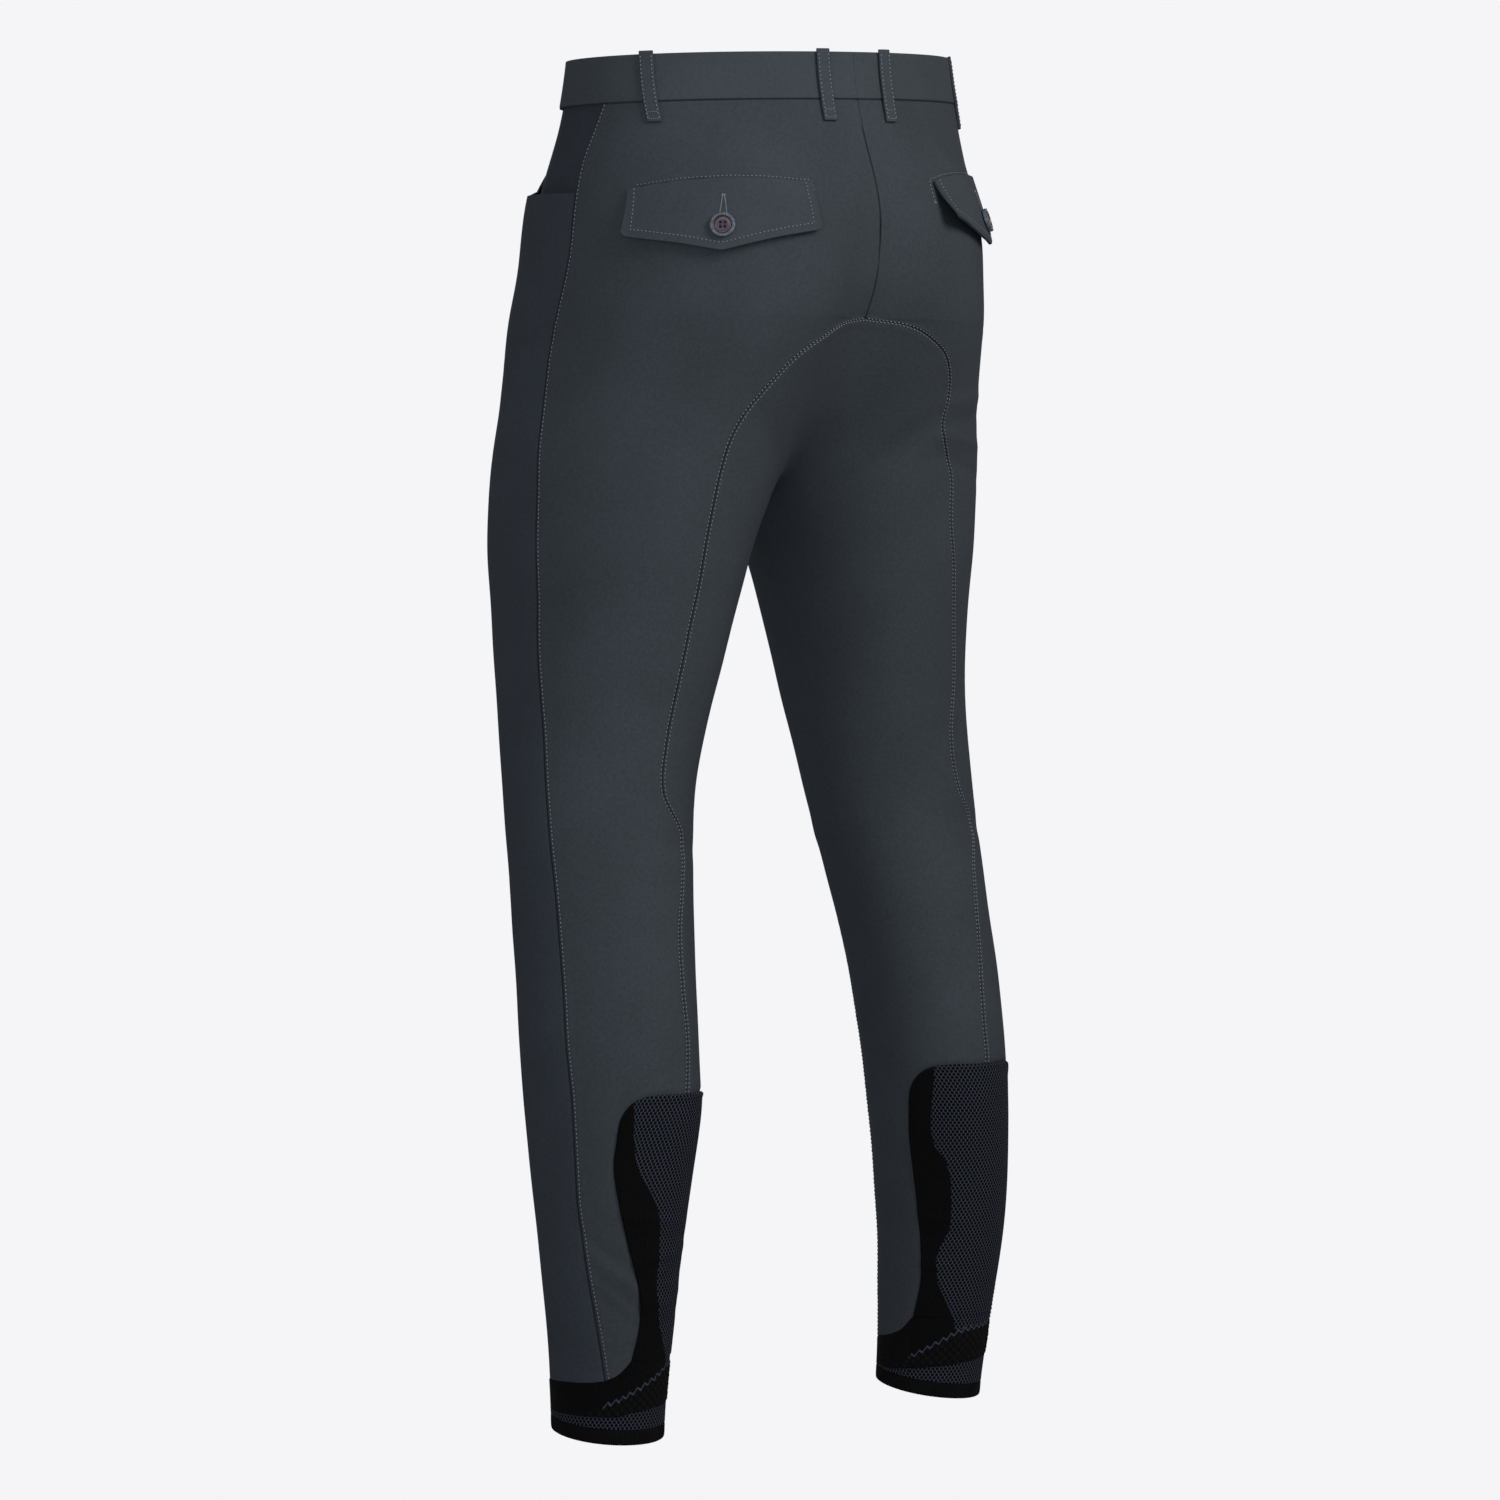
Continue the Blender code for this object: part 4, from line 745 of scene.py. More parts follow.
class Half:
    """One half of the garment's skin as a fine grid of points."""

    def __init__(self, name):
        self.name, self.side = name, SIDES[name]
        self.rows = fine_rows()
        plain = np.linspace(0, ROUND + TONGUE_OUT, (ROUND + TONGUE_OUT) * PLAIN_CELLS + 1)
        grid = self.places(self.rows, np.broadcast_to(plain, (len(self.rows), len(plain))))
        arcs = lengths(skin_points(self.side, *grid)[0], 1)
        columns, self.seam_index = [], {}
        for (start, end), cells in COLUMN_CELLS.items():
            first, last = np.array([np.interp((start, end), plain, arc) for arc in arcs]).T
            width = last - first
            near = NEAR_SEAM * np.minimum(1, width / (NARROW_STRIPS * NEAR_SEAM[-1]))[:, None]
            share = np.linspace(0, 1, cells + 1)[1:-1]
            middle = near[:, -1:] + (width[:, None] - 2 * near[:, -1:]) * share
            steps = np.concatenate([near, middle, width[:, None] - near[:, :0:-1]], axis=1)
            self.seam_index[start] = sum(block.shape[1] for block in columns)
            columns.append(np.stack([np.interp(at + step, arc, plain)
                                     for at, step, arc in zip(first, steps, arcs)]))
            columns[-1][:, 0] = start
        self.seam_index[ROUND + TONGUE_OUT] = sum(block.shape[1] for block in columns)
        columns.append(np.full((len(self.rows), 1), float(ROUND + TONGUE_OUT)))
        self.columns = np.concatenate(columns, axis=1)
        self.angles, self.heights = self.places(self.rows, self.columns)
        self.follow_fork()
        self.base, self.normals = skin_points(self.side, self.angles, self.heights)
        self.across, self.down = lengths(self.base, 1), lengths(self.base, 0)
        self.points = self.base + self.normals * self.rise()[..., None]
        if self.side > 0:
            print(name, "half:", self.points.shape[:2], "points")

    def follow_fork(self):
        """Put the inner panel's top row exactly on the fork, and ease the rows below it."""
        row = np.searchsorted(self.rows, SEAT_ROW)
        inner = slice(self.seam_index[FRONT] + 1, self.seam_index[ROUND])
        shift = crotch_heights(self.angles[row, inner]) - self.heights[row, inner]
        ease = np.clip(1 - (self.rows[row:] - SEAT_ROW) / FORK_EASE_ROWS, 0, 1)[:, None]
        self.heights[row:, inner] += shift * ease

    def places(self, rows, columns):
        """Angles and heights at rows, and at the columns wanted on each of them."""
        made = []
        for k, table in enumerate(RULING[self.name]):
            over = table[:, 1:TONGUE_OUT + 1] + (2 * np.pi if k == 0 else 0)
            lines = smooth_read(np.concatenate([table, over], axis=1), rows, ROW_BREAKS)
            breaks = (*COLUMN_BREAKS, ROUND + TONGUE_OUT)
            slopes = [np.zeros_like(lines) for _ in range(2)]
            for start, end in zip(breaks[:-1], breaks[1:]):
                block = np.gradient(lines[:, start:end + 1], axis=1)
                slopes[0][:, start:end] = block[:, :-1]
                slopes[1][:, start:end] = block[:, 1:]
            at = np.clip(np.floor(columns + 1e-9).astype(int), 0, lines.shape[1] - 2)
            row = np.arange(len(rows))[:, None]
            made.append(between(columns - at, lines[row, at], lines[row, at + 1],
                                slopes[0][row, at], slopes[1][row, at]))
        return made

    def seam_distance(self, column):
        """Signed distance of every point from a seam column, below zero before it."""
        return self.across - self.across[:, self.seam_index[column]][:, None]

    def rise(self):
        """Folds, unevenness and seams, as one height over the skin."""
        total = fold_rise(self.side, self.angles, self.heights, FOLDS + SMALL_FOLDS)
        # Both halves share one unevenness, and each adds its own away from the mid plane.
        own = np.clip((np.abs(self.base[..., 0]) - OWN_FROM) / OWN_EASE, 0, 1)
        total += UNEVEN * (uneven(self.base * (self.side, 1, 1))
                           + uneven(self.base * (1, 1, 1.1) + 3.0) * own)
        row = np.broadcast_to(self.rows[:, None], total.shape)
        for column, first, last, kind in SEAMS:
            distance = self.seam_distance(column)
            here = (row >= first) & (row <= last) & (np.abs(distance) < SEAM_REACH)
            run = self.down[:, self.seam_index[column]][:, None]
            welted = (kind == "double") | ((kind == "single") & (distance < 0))
            total += np.where(here, seam_rise(np.abs(distance), run, welted), 0)
        for column, outward in ((TONGUE_OUT, 1), (TONGUE_IN, -1)):
            beside = np.maximum(self.seam_distance(column) * outward, 0)
            reach = np.hypot(beside, np.maximum(self.knit_start() - self.down, 0))
            total -= KNIT_TUCK * bell(reach, KNIT_TUCK_WIDTH)
        return total

    def seam_shade_depth(self):
        """Depth into the painted seam shade: its reach less the distance from the nearest seam, the
        waistband or a line just above a flap's top fold, and zero beyond that reach.
        """
        row = np.broadcast_to(self.rows[:, None], self.points.shape[:2])
        nearest = np.where(self.columns <= FRONT, self.down, SEAM_SHADE_REACH)
        for column, first, last, _ in SEAMS:
            here = (row >= first - 0.3) & (row <= last)
            nearest = np.minimum(nearest, np.where(here, np.abs(self.seam_distance(column)), SEAM_SHADE_REACH))
        arc = self.across - self.across[:, :1]
        past = np.maximum(np.maximum(FLAP["from"] - arc, arc - FLAP["to"]), 0)
        over = self.heights - flap_top(self.name, arc) - FLAP_SHADE_ABOVE
        return np.maximum(SEAM_SHADE_REACH - np.minimum(nearest, np.hypot(past, over)), 0)

    def knit_start(self):
        """Running length down every column at which the knit's top row is met."""
        return np.array([np.interp(TONGUE_ROW, self.rows, down) for down in self.down.T])

    def line(self, column, offset, first, last):
        """Points and normals of a line beside a seam column, between two rows."""
        keep = (self.rows >= first) & (self.rows <= last)
        offset = np.broadcast_to(offset, self.rows.shape)[keep]
        start = self.across[keep, self.seam_index[column]]
        normals = outward_normals(self.points, self.normals)
        spots, ways = (np.array([[np.interp(at, arc, p[:, k]) for k in range(3)] for at, arc, p
                                 in zip(start + offset, self.across[keep], table[keep])])
                       for table in (self.points, normals))
        return spots, ways


# %% Seams, small folds and flap lines of the skin
def outward_normals(points, guide):
    """Normals of a grid of points, on the same side as a guide."""
    made = np.cross(np.gradient(points, axis=0), np.gradient(points, axis=1))
    return unit(made * np.sign(np.sum(made * guide, -1, keepdims=True)))


# Seams as (column, first row, last row, kind); a double one is stitched down on both sides.
SEAMS = ((0, 0, SEAT_ROW, "plain"), (0, SEAT_ROW, TONGUE_ROW, "double"),
         (ROUND, SEAT_ROW, TONGUE_ROW, "double"), (SIDE, 0, ANKLE_ROW, "single"),
         (FRONT, 0, SEAT_ROW, "plain"), (FRONT, SEAT_ROW, ANKLE_ROW, "double"))
KNIT_TUCK, KNIT_TUCK_WIDTH = 0.7 * MM, 1.8 * MM
UNEVEN, OWN_FROM, OWN_EASE = 0.35 * MM, 6 * MM, 40 * MM
SEAM_REACH = 12 * MM
SMALL_FOLDS = (
    ("left", 30, -850, 34, 3.5, 38, 0.6),
    ("left", 33, -868, 30, 3.5, 42, 0.6),
    ("left", 40, -835, 26, 4, 34, -0.5),
    ("left", 88, -178, 12, 3, 20, 0.5),
    ("right", -60, -880, 40, 4, 80, 0.6),
    ("right", -52, -860, 46, 4, 78, -0.5),
)
# Reach of the painted seam shade, and how far above a flap's top fold its painted shadow line lies.
SEAM_SHADE_REACH, FLAP_SHADE_ABOVE = 20 * MM, 0.5 * MM
# The flaps' places, as lengths round the hip from the centre back and as heights.
FLAP = {"from": 57 * MM, "to": 192 * MM, "from_below": 58 * MM, "to_below": 200 * MM,
        "side_drop": 34 * MM, "point_drop": 51.5 * MM, "corner": 4.5 * MM, "corner_share": 0.6,
        "stand_off": 5 * MM, "side_share": 0.55, "curl": 1.4, "corner_reach": 0.38}
FLAP_TOP = {
    "left": ((57, -79), (88, -76.7), (115, -76.3), (150, -78), (192, -83)),
    "right": ((57, -73.8), (66, -70), (90, -66.5), (120, -64.5), (150, -64), (192, -67)),
}


def flap_top(name, arcs):
    """Height of a flap's top fold, as a smooth line through its table."""
    line = np.array(FLAP_TOP[name], float) * MM
    near = np.linspace(-8, 8, 9) * MM
    return np.mean([np.interp(arcs + shift, line[:, 0], line[:, 1]) for shift in near], axis=0)


# %% Both halves
halves = {name: Half(name) for name in SIDES}

# %% [markdown]
# ## Cutting the panels
# A panel is the block of grid cells between its seams. Its rim is drawn in by a hair, so that
# neighbours never touch, and Solidify gives it its wall, inwards from the outer face.

# %% Sheets and panels
GAP = 0.12 * MM
PANEL_WALL = 1.2 * MM
# At the closed fly the two halves all but touch.
FLY_REACH, FLY_GAP = 0.3 * MM, 0.01 * MM


def sheet_mesh(name, points, normals, quads, flat, side=0):
    """Mesh of a sheet: faces outwards, rim drawn in, a UV map, kept on its side if one is named."""
    a, b, c = (points[quads[:, k]] for k in (0, 1, 2))
    if np.sum(np.cross(b - a, c - a) * normals[quads[:, 0]]) < 0:
        quads = quads[:, ::-1]
    spots = draw_in(points, normals, quads)
    if side:
        spots[:, 0] = side * np.maximum(side * spots[:, 0], GAP / 2)
        at_fly = (np.abs(points[:, 0]) < FLY_REACH) & (normals[:, 1] < 0)
        spots[at_fly, 0] = side * FLY_GAP / 2
    mesh = bpy.data.meshes.new(name)
    mesh.from_pydata(spots.tolist(), [], quads.tolist())
    set_uv(mesh, flat)
    return mesh


def grid_mesh(name, points, normals, flat):
    """Mesh of an open grid of points."""
    rows, columns = points.shape[:2]
    a = (np.arange(rows - 1)[:, None] * columns + np.arange(columns - 1)).ravel()
    return sheet_mesh(name, points.reshape(-1, 3), normals.reshape(-1, 3),
                      np.stack([a, a + 1, a + columns + 1, a + columns], 1), flat.reshape(-1, 2))


def band_quads(rows, columns, closed, start=0):
    """Faces between rows of points; a closed band runs once round."""
    across = np.arange(columns if closed else columns - 1)
    down = start + np.arange(rows)[:, None] * columns
    above, beside = down + across, down + (across + 1) % columns
    return np.stack([above, above + columns, beside + columns, beside], -1).reshape(-1, 4)


def cut_mesh(name, half, blocks, rise):
    """Mesh of the grid cells of some blocks ((first row, last row), (first, last column))."""
    rows, width = half.rows, half.points.shape[1]
    quads = []
    for (top, bottom), (first, last) in blocks:
        r = np.flatnonzero((rows >= top - 1e-9) & (rows < bottom - 1e-9))
        c = np.arange(half.seam_index[first], half.seam_index[last])
        a = (r[:, None] * width + c).ravel()
        quads.append(np.stack([a, a + width, a + width + 1, a + 1], 1))
    used, quads = np.unique(np.concatenate(quads), return_inverse=True)
    points = half.points + half.normals * rise[..., None]
    middle = (half.seam_index[blocks[0][1][0]] + half.seam_index[blocks[0][1][1]]) // 2
    u = half.across - half.across[:, middle][:, None]
    v = -np.broadcast_to(half.down[:, middle][:, None], u.shape)
    mesh = sheet_mesh(name, points.reshape(-1, 3)[used], half.normals.reshape(-1, 3)[used],
                      quads.reshape(-1, 4), np.stack([u, v], -1).reshape(-1, 2)[used], half.side)
    # How deep each point lies in the painted seam shade, for the jersey's colour.
    store(mesh, "sewn", half.seam_shade_depth().ravel()[used])
    return mesh


# %% Stored numbers, rims and UV maps
def store(mesh, name, values):
    """Keep one number per point with a mesh, for its material."""
    kept = mesh.attributes.new(name, "FLOAT", "POINT")
    kept.data.foreach_set("value", np.asarray(values, np.float32).ravel())


def draw_in(points, normals, quads):
    """Move the rim of a mesh inwards along the cloth by half a gap."""
    ahead = np.concatenate([quads[:, [k, (k + 1) % 4]] for k in range(4)])
    key = ahead[:, 0].astype(np.int64) * len(points) + ahead[:, 1]
    back_key = ahead[:, 1].astype(np.int64) * len(points) + ahead[:, 0]
    rim = ahead[~np.isin(key, back_key)]
    way = points[rim[:, 1]] - points[rim[:, 0]]
    turn = np.cross(normals[rim[:, 0]] + normals[rim[:, 1]], way)
    turn /= np.maximum(np.linalg.norm(turn, axis=1, keepdims=True), 1e-12)
    total, count = np.zeros_like(points), np.zeros(len(points))
    for k in (0, 1):
        np.add.at(total, rim[:, k], turn)
        np.add.at(count, rim[:, k], 1)
    mean = total / np.maximum(count, 1)[:, None]
    size = np.sum(mean * mean, axis=1, keepdims=True)
    return points + np.where(size > 0, mean / np.maximum(size, 0.3), 0) * GAP / 2


def set_uv(mesh, flat):
    """Give a mesh a UV map in metres from one pair of numbers per vertex."""
    layer = mesh.uv_layers.new(name="cloth")
    corner = np.zeros(len(mesh.loops), int)
    mesh.loops.foreach_get("vertex_index", corner)
    layer.data.foreach_set("uv", flat[corner].astype(np.float32).ravel())


# %% Walls and cloth pieces
SHARP_ANGLE, TURNED_ANGLE = 60, 50
SHEETS = {}


def pick(piece):
    """Make a piece the only one selected, and the active one."""
    bpy.ops.object.select_all(action="DESELECT")
    bpy.context.view_layer.objects.active = piece
    piece.select_set(True)


def round_edges(piece, width, angle):
    """Bevel the edges that turn by more than an angle in degrees."""
    soften = piece.modifiers.new("turned edge", "BEVEL")
    soften.width = width
    soften.segments = 3
    soften.limit_method = "ANGLE"
    soften.angle_limit = math.radians(angle)


def wall(piece, thickness, rounded=0.0):
    """Give an open sheet its wall, inwards, and round its turned edges."""
    solid = piece.modifiers.new("wall", "SOLIDIFY")
    solid.thickness = thickness
    solid.offset = -1.0
    if rounded:
        round_edges(piece, rounded, TURNED_ANGLE)
    pick(piece)
    for modifier in list(piece.modifiers):
        bpy.ops.object.modifier_apply(modifier=modifier.name)
    piece.data.shade_smooth()
    piece.data.set_sharp_from_angle(angle=math.radians(SHARP_ANGLE))


def cloth_piece(name, mesh, material, slot, thickness, size, rounded=0.0, layers=1):
    """Finish a cloth piece that stands for the solid of the same name."""
    area = sum(face.area for face in mesh.polygons) * layers
    width, length = size[0], size[1] * layers
    print(name, "cut", round(width, 3), "x", round(length, 3), "area", round(area, 4))
    piece = link(name + "_cloth", mesh, slot, material)
    wall(piece, thickness, rounded)
    print(piece.name, len(mesh.polygons), "faces")
    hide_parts(name)
    SHEETS[name] = (width, length, area)


def block_size(half, blocks):
    """Greatest width and length of the cut, measured along the cloth."""
    first = min(half.seam_index[columns[0]] for _, columns in blocks)
    last = max(half.seam_index[columns[1]] for _, columns in blocks)
    keep = (half.rows >= min(r[0] for r, _ in blocks)) & (half.rows <= max(r[1] for r, _ in blocks))
    width = (half.across[keep, last] - half.across[keep, first]).max()
    length = max(np.ptp(half.down[keep, k]) for k in range(first, last + 1))
    return float(width), float(length)

# %% [markdown]
# ## Cloth materials
# The main cloth is a stretch jersey of polyamide and elastane: knitted so finely that only a
# faint grain shows, and fully matt. Two crossed waves about a millimetre apart make the stitches
# of the knit, and slow noise makes the mottling of the yarn.
# The knit of the calf carries two patterns, so distances stored on its points say where the open
# hexagon mesh ends and where the fine rib begins.


# %% Jersey
SEAM_SHADE = 0.42


def jersey(name, colour, wale=1.15 * MM, course=0.95 * MM, depth=0.10 * MM, mottle=0.10):
    """Fine plain knit on the cloth's own UV map, in metres."""
    made, tree, shader = new_material(name, Roughness=0.92, IOR=1.46, Specular_IOR_Level=0.12)
    cloth = add_node(tree, "UVMap", {"uv_map": "cloth"})
    split = add_node(tree, "SeparateXYZ", Vector=(cloth, "UV"))
    waves = []
    for axis, pitch in (("X", wale), ("Y", course)):
        turns = maths(tree, "MULTIPLY", (split, axis), 2 * math.pi / pitch)
        waves.append(maths(tree, "SINE", turns))
    loops = maths(tree, "MULTIPLY", waves[0], waves[1])
    place = add_node(tree, "TexCoord")
    yarn = add_node(tree, "TexNoise", Vector=(place, "Object"), Scale=1 / (2.4 * MM), Detail=3.0,
                    Roughness=0.65)
    worn = add_node(tree, "TexNoise", Vector=(place, "Object"), Scale=1 / (70 * MM), Detail=2.0)
    low, high = (linear(colour, 1 + sign * mottle) for sign in (-1, 1))
    tint = add_node(tree, "ValToRGB", Fac=(yarn, "Fac"))
    colour_stops(tint, (0.32, low), (0.68, high))
    fade = add_node(tree, "MapRange", Value=(worn, "Fac"), From_Min=0.3, From_Max=0.7,
                    To_Min=0.93, To_Max=1.07)
    # Painted shade: where the cloth dips into a seam, under the waistband and just above each flap's
    # fold, its colour is darkened.
    sewn = add_node(tree, "Attribute", {"attribute_name": "sewn"})
    painted_seam_shade = add_node(tree, "MapRange", {"interpolation_type": "SMOOTHSTEP"}, Value=(sewn, "Fac"),
                       From_Min=SEAM_SHADE_REACH - 1.15 * MM, From_Max=SEAM_SHADE_REACH - 0.25 * MM, To_Min=1.0,
                       To_Max=SEAM_SHADE)
    mottle_and_painted_seam_shade = maths(tree, "MULTIPLY", fade, painted_seam_shade)
    toned = add_node(tree, "VectorMath", {"operation": "SCALE"}, Vector=tint, Scale=mottle_and_painted_seam_shade)
    tree.links.new(toned.outputs["Vector"], shader.inputs["Base Color"])
    height = maths(tree, "ADD", loops, (yarn, "Fac"))
    bump = add_node(tree, "Bump", Height=height, Strength=0.5, Distance=depth)
    tree.links.new(bump.outputs["Normal"], shader.inputs["Normal"])
    return made


stretch_jersey = jersey("stretch_jersey_polyamide", "3a4046")
# The front panels' jersey is a little darker than the back's: painted shade for the side turned from the
# light.
front_jersey_painted_shade = jersey("stretch_jersey_front_painted_shade", "373d44")
facing_jersey = jersey("stretch_jersey_facing", "31373e")
doubled_jersey = jersey("stretch_jersey_doubled", "3e444a", mottle=0.08)
flap_jersey = jersey("stretch_jersey_flap", "3c4248")


# %% Ribbed and open-mesh knit
RIB_PITCH = 1.6 * MM
# The open mesh has holes 2.7 mm apart; it is drawn a little coarser, so that it shows.
MESH_ACROSS, MESH_DOWN = 3.1 * MM, 4.5 * MM
KNIT_BLACK, KNIT_GREY, HEM_BLACK = "0a0a0b", "464b5a", "0f0f10"
ZIGZAG = {"pitch": 2.8 * MM, "half_height": 1.5 * MM, "half_width": 0.55 * MM}


def lattice(tree, split, shift):
    """Distance from the nearest hole of one of the two lattices that make a hexagon mesh."""
    parts = []
    for axis, pitch in (("X", MESH_ACROSS), ("Y", MESH_DOWN)):
        count = maths(tree, "MULTIPLY_ADD", (split, axis), 1 / pitch, shift)
        part = maths(tree, "FRACT", count)
        middle = maths(tree, "SUBTRACT", part, 0.5)
        parts.append(maths(tree, "MULTIPLY", middle, pitch / MESH_ACROSS))
    both = add_node(tree, "CombineXYZ", X=parts[0], Y=parts[1])
    return add_node(tree, "VectorMath", {"operation": "LENGTH"}, Vector=both)


def ribbed_knit(name, colour, with_mesh):
    """Black rib knit; with_mesh adds the open hexagon mesh where the mesh attribute is positive."""
    made, tree, shader = new_material(name, Roughness=0.92, Specular_IOR_Level=0.10)
    cloth = add_node(tree, "UVMap", {"uv_map": "cloth"})
    split = add_node(tree, "SeparateXYZ", Vector=(cloth, "UV"))
    ribs = maths(tree, "MULTIPLY", (split, "X"), 2 * math.pi / RIB_PITCH)
    rib = maths(tree, "SINE", ribs)
    stitch = add_node(tree, "TexNoise", Vector=(cloth, "UV"), Scale=1 / (1.1 * MM), Detail=2.0)
    # Painted light and shade: each rib is drawn lighter on its crest and darker in its hollow.
    painted_rib_shading = add_node(tree, "MapRange", Value=rib, From_Min=-1.0, From_Max=1.0, To_Min=0.55,
                    To_Max=1.5)
    speck = add_node(tree, "MapRange", Value=(stitch, "Fac"), From_Min=0.3, From_Max=0.7, To_Min=0.7,
                     To_Max=1.3)
    both = maths(tree, "MULTIPLY", painted_rib_shading, speck)
    colour_node = add_node(tree, "VectorMath", {"operation": "SCALE"}, Vector=linear(colour)[:3],
                           Scale=both)
    height, colour_out = rib, (colour_node, "Vector")
    if with_mesh:
        # Painted highlight: the tops of the quilted band's little cushions are drawn lighter.
        cushion = add_node(tree, "Attribute", {"attribute_name": "quilt"})
        painted_cushion_highlight = add_node(tree, "MapRange", Value=(cushion, "Fac"), From_Min=0.35, From_Max=1.0,
                         To_Min=1.0, To_Max=2.6)
        colour_node = add_node(tree, "VectorMath", {"operation": "SCALE"},
                               Vector=(colour_node, "Vector"), Scale=painted_cushion_highlight)
        zone = add_node(tree, "Attribute", {"attribute_name": "mesh"})
        crisp = add_node(tree, "MapRange", Value=(zone, "Fac"), From_Min=-0.3 * MM, From_Max=0.3 * MM)
        first, second = lattice(tree, split, 0.0), lattice(tree, split, 0.5)
        nearest = maths(tree, "MINIMUM", (first, "Value"), (second, "Value"))
        thread = add_node(tree, "MapRange", Value=nearest, From_Min=0.34, From_Max=0.47)
        shades = add_node(tree, "ValToRGB", Fac=thread)
        colour_stops(shades, (0, linear("050608")), (1, linear(KNIT_GREY)))
        mixed = add_node(tree, "Mix", {"data_type": "RGBA"}, Factor=crisp,
                         _6=(colour_node, "Vector"), _7=shades)
        # One light thread runs in a zigzag between the rib and the quilted band.
        border = add_node(tree, "Attribute", {"attribute_name": "border"})
        wave = maths(tree, "PINGPONG", (split, "X"), ZIGZAG["pitch"])
        swing = add_node(tree, "MapRange", Value=wave, From_Max=ZIGZAG["pitch"],
                         To_Min=-ZIGZAG["half_height"], To_Max=ZIGZAG["half_height"])
        off_line = maths(tree, "SUBTRACT", (border, "Fac"), swing)
        away = maths(tree, "ABSOLUTE", off_line)
        laid = add_node(tree, "MapRange", Value=away, From_Min=ZIGZAG["half_width"],
                        From_Max=1.6 * ZIGZAG["half_width"], To_Min=0.9, To_Max=0.0)
        zigzag = add_node(tree, "Mix", {"data_type": "RGBA"}, Factor=laid,
                          _6=(mixed, 2), _7=linear(KNIT_GREY))
        colour_out = (zigzag, 2)
        height = add_node(tree, "Mix", {"data_type": "FLOAT"}, Factor=crisp,
                          _2=rib, _3=thread)
    tree.links.new(colour_out[0].outputs[colour_out[1]], shader.inputs["Base Color"])
    bump = add_node(tree, "Bump", Height=height, Strength=0.9, Distance=0.5 * MM)
    tree.links.new(bump.outputs["Normal"], shader.inputs["Normal"])
    return made


calf_knit = ribbed_knit("rib_and_mesh_knit_polyamide", KNIT_BLACK, True)
hem_knit = ribbed_knit("rolled_rib_hem", HEM_BLACK, False)


# %% Thread
def thread(name, colour, hole):
    """Polyester sewing thread; its shade attribute is 0 where it dives into its needle hole, and there
    the hole colour paints that shade.
    """
    made, tree, shader = new_material(name, Roughness=0.6, Specular_IOR_Level=0.3)
    place = add_node(tree, "TexCoord")
    twist = add_node(tree, "TexNoise", Vector=(place, "Object"), Scale=1 / (0.8 * MM), Detail=1.0)
    tint = add_node(tree, "ValToRGB", Fac=(twist, "Fac"))
    colour_stops(tint, (0, linear(colour, 0.75)), (1, linear(colour, 1.25)))
    # Painted shade: the stitch's ends take the dark colour of the needle hole's shade.
    shade = add_node(tree, "Attribute", {"attribute_name": "shade"})
    seen = add_node(tree, "Mix", {"data_type": "RGBA"}, Factor=(shade, "Fac"), _6=linear(hole),
                    _7=tint)
    tree.links.new(seen.outputs[2], shader.inputs["Base Color"])
    return made


sewing_thread = thread("polyester_sewing_thread", "787f88", "0c0e12")
button_thread = thread("polyester_button_thread", "2a2e36", "0c0d10")


# %% Resin
def resin(name, dark, light, grain):
    """Polyester resin, cast in a sheet with streaks of two colours, turned and polished."""
    made, tree, shader = new_material(name, IOR=1.55, Specular_IOR_Level=0.5)
    place = add_node(tree, "TexCoord")
    swirl = add_node(tree, "TexNoise", Vector=(place, "Object"), Scale=1 / grain, Detail=3.0,
                     Distortion=1.6)
    tint = add_node(tree, "ValToRGB", Fac=(swirl, "Fac"))
    colour_stops(tint, (0.38, linear(dark)), (0.62, linear(light)))
    scratches = add_node(tree, "TexNoise", Vector=(place, "Object"), Scale=1 / (0.35 * MM))
    gloss = add_node(tree, "MapRange", Value=(scratches, "Fac"), To_Min=0.22, To_Max=0.42)
    tree.links.new(tint.outputs["Color"], shader.inputs["Base Color"])
    tree.links.new(gloss.outputs["Result"], shader.inputs["Roughness"])
    return made


rim_resin = resin("polished_resin_rim", "3f4854", "5c6875", 3.0 * MM)
# The groove between rim and dish is drawn near-black: painted shade in the recess.
groove_painted_shade = resin("painted_shade_in_button_groove", "0c0e12", "181c22", 3.0 * MM)
dish_resin = resin("polished_resin_marbled", "363d47", "5a373f", 2.2 * MM)

# %% [markdown]
# ## Back, front and inner leg panels
# The back panel runs from the waistband to the ankle and stops round the knitted tongue. The
# front panel leaves a corner free under the waistband, where the pocket opens: its folded edge
# stands a little away from the hip. The inner panel carries the seat.

# %% Panels
MOUTH_GAPE, MOUTH_SLACK, MOUTH_AHEAD = 7.0 * MM, 160 * MM, 1 / 3
MOUTH_SHAPE = ((0, 0), (0.1, 0.5), (0.2, 0.85), (0.3, 1), (0.36, 0.95), (0.42, 0.72), (0.5, 0.35),
               (0.67, 0.12), (1, 0))


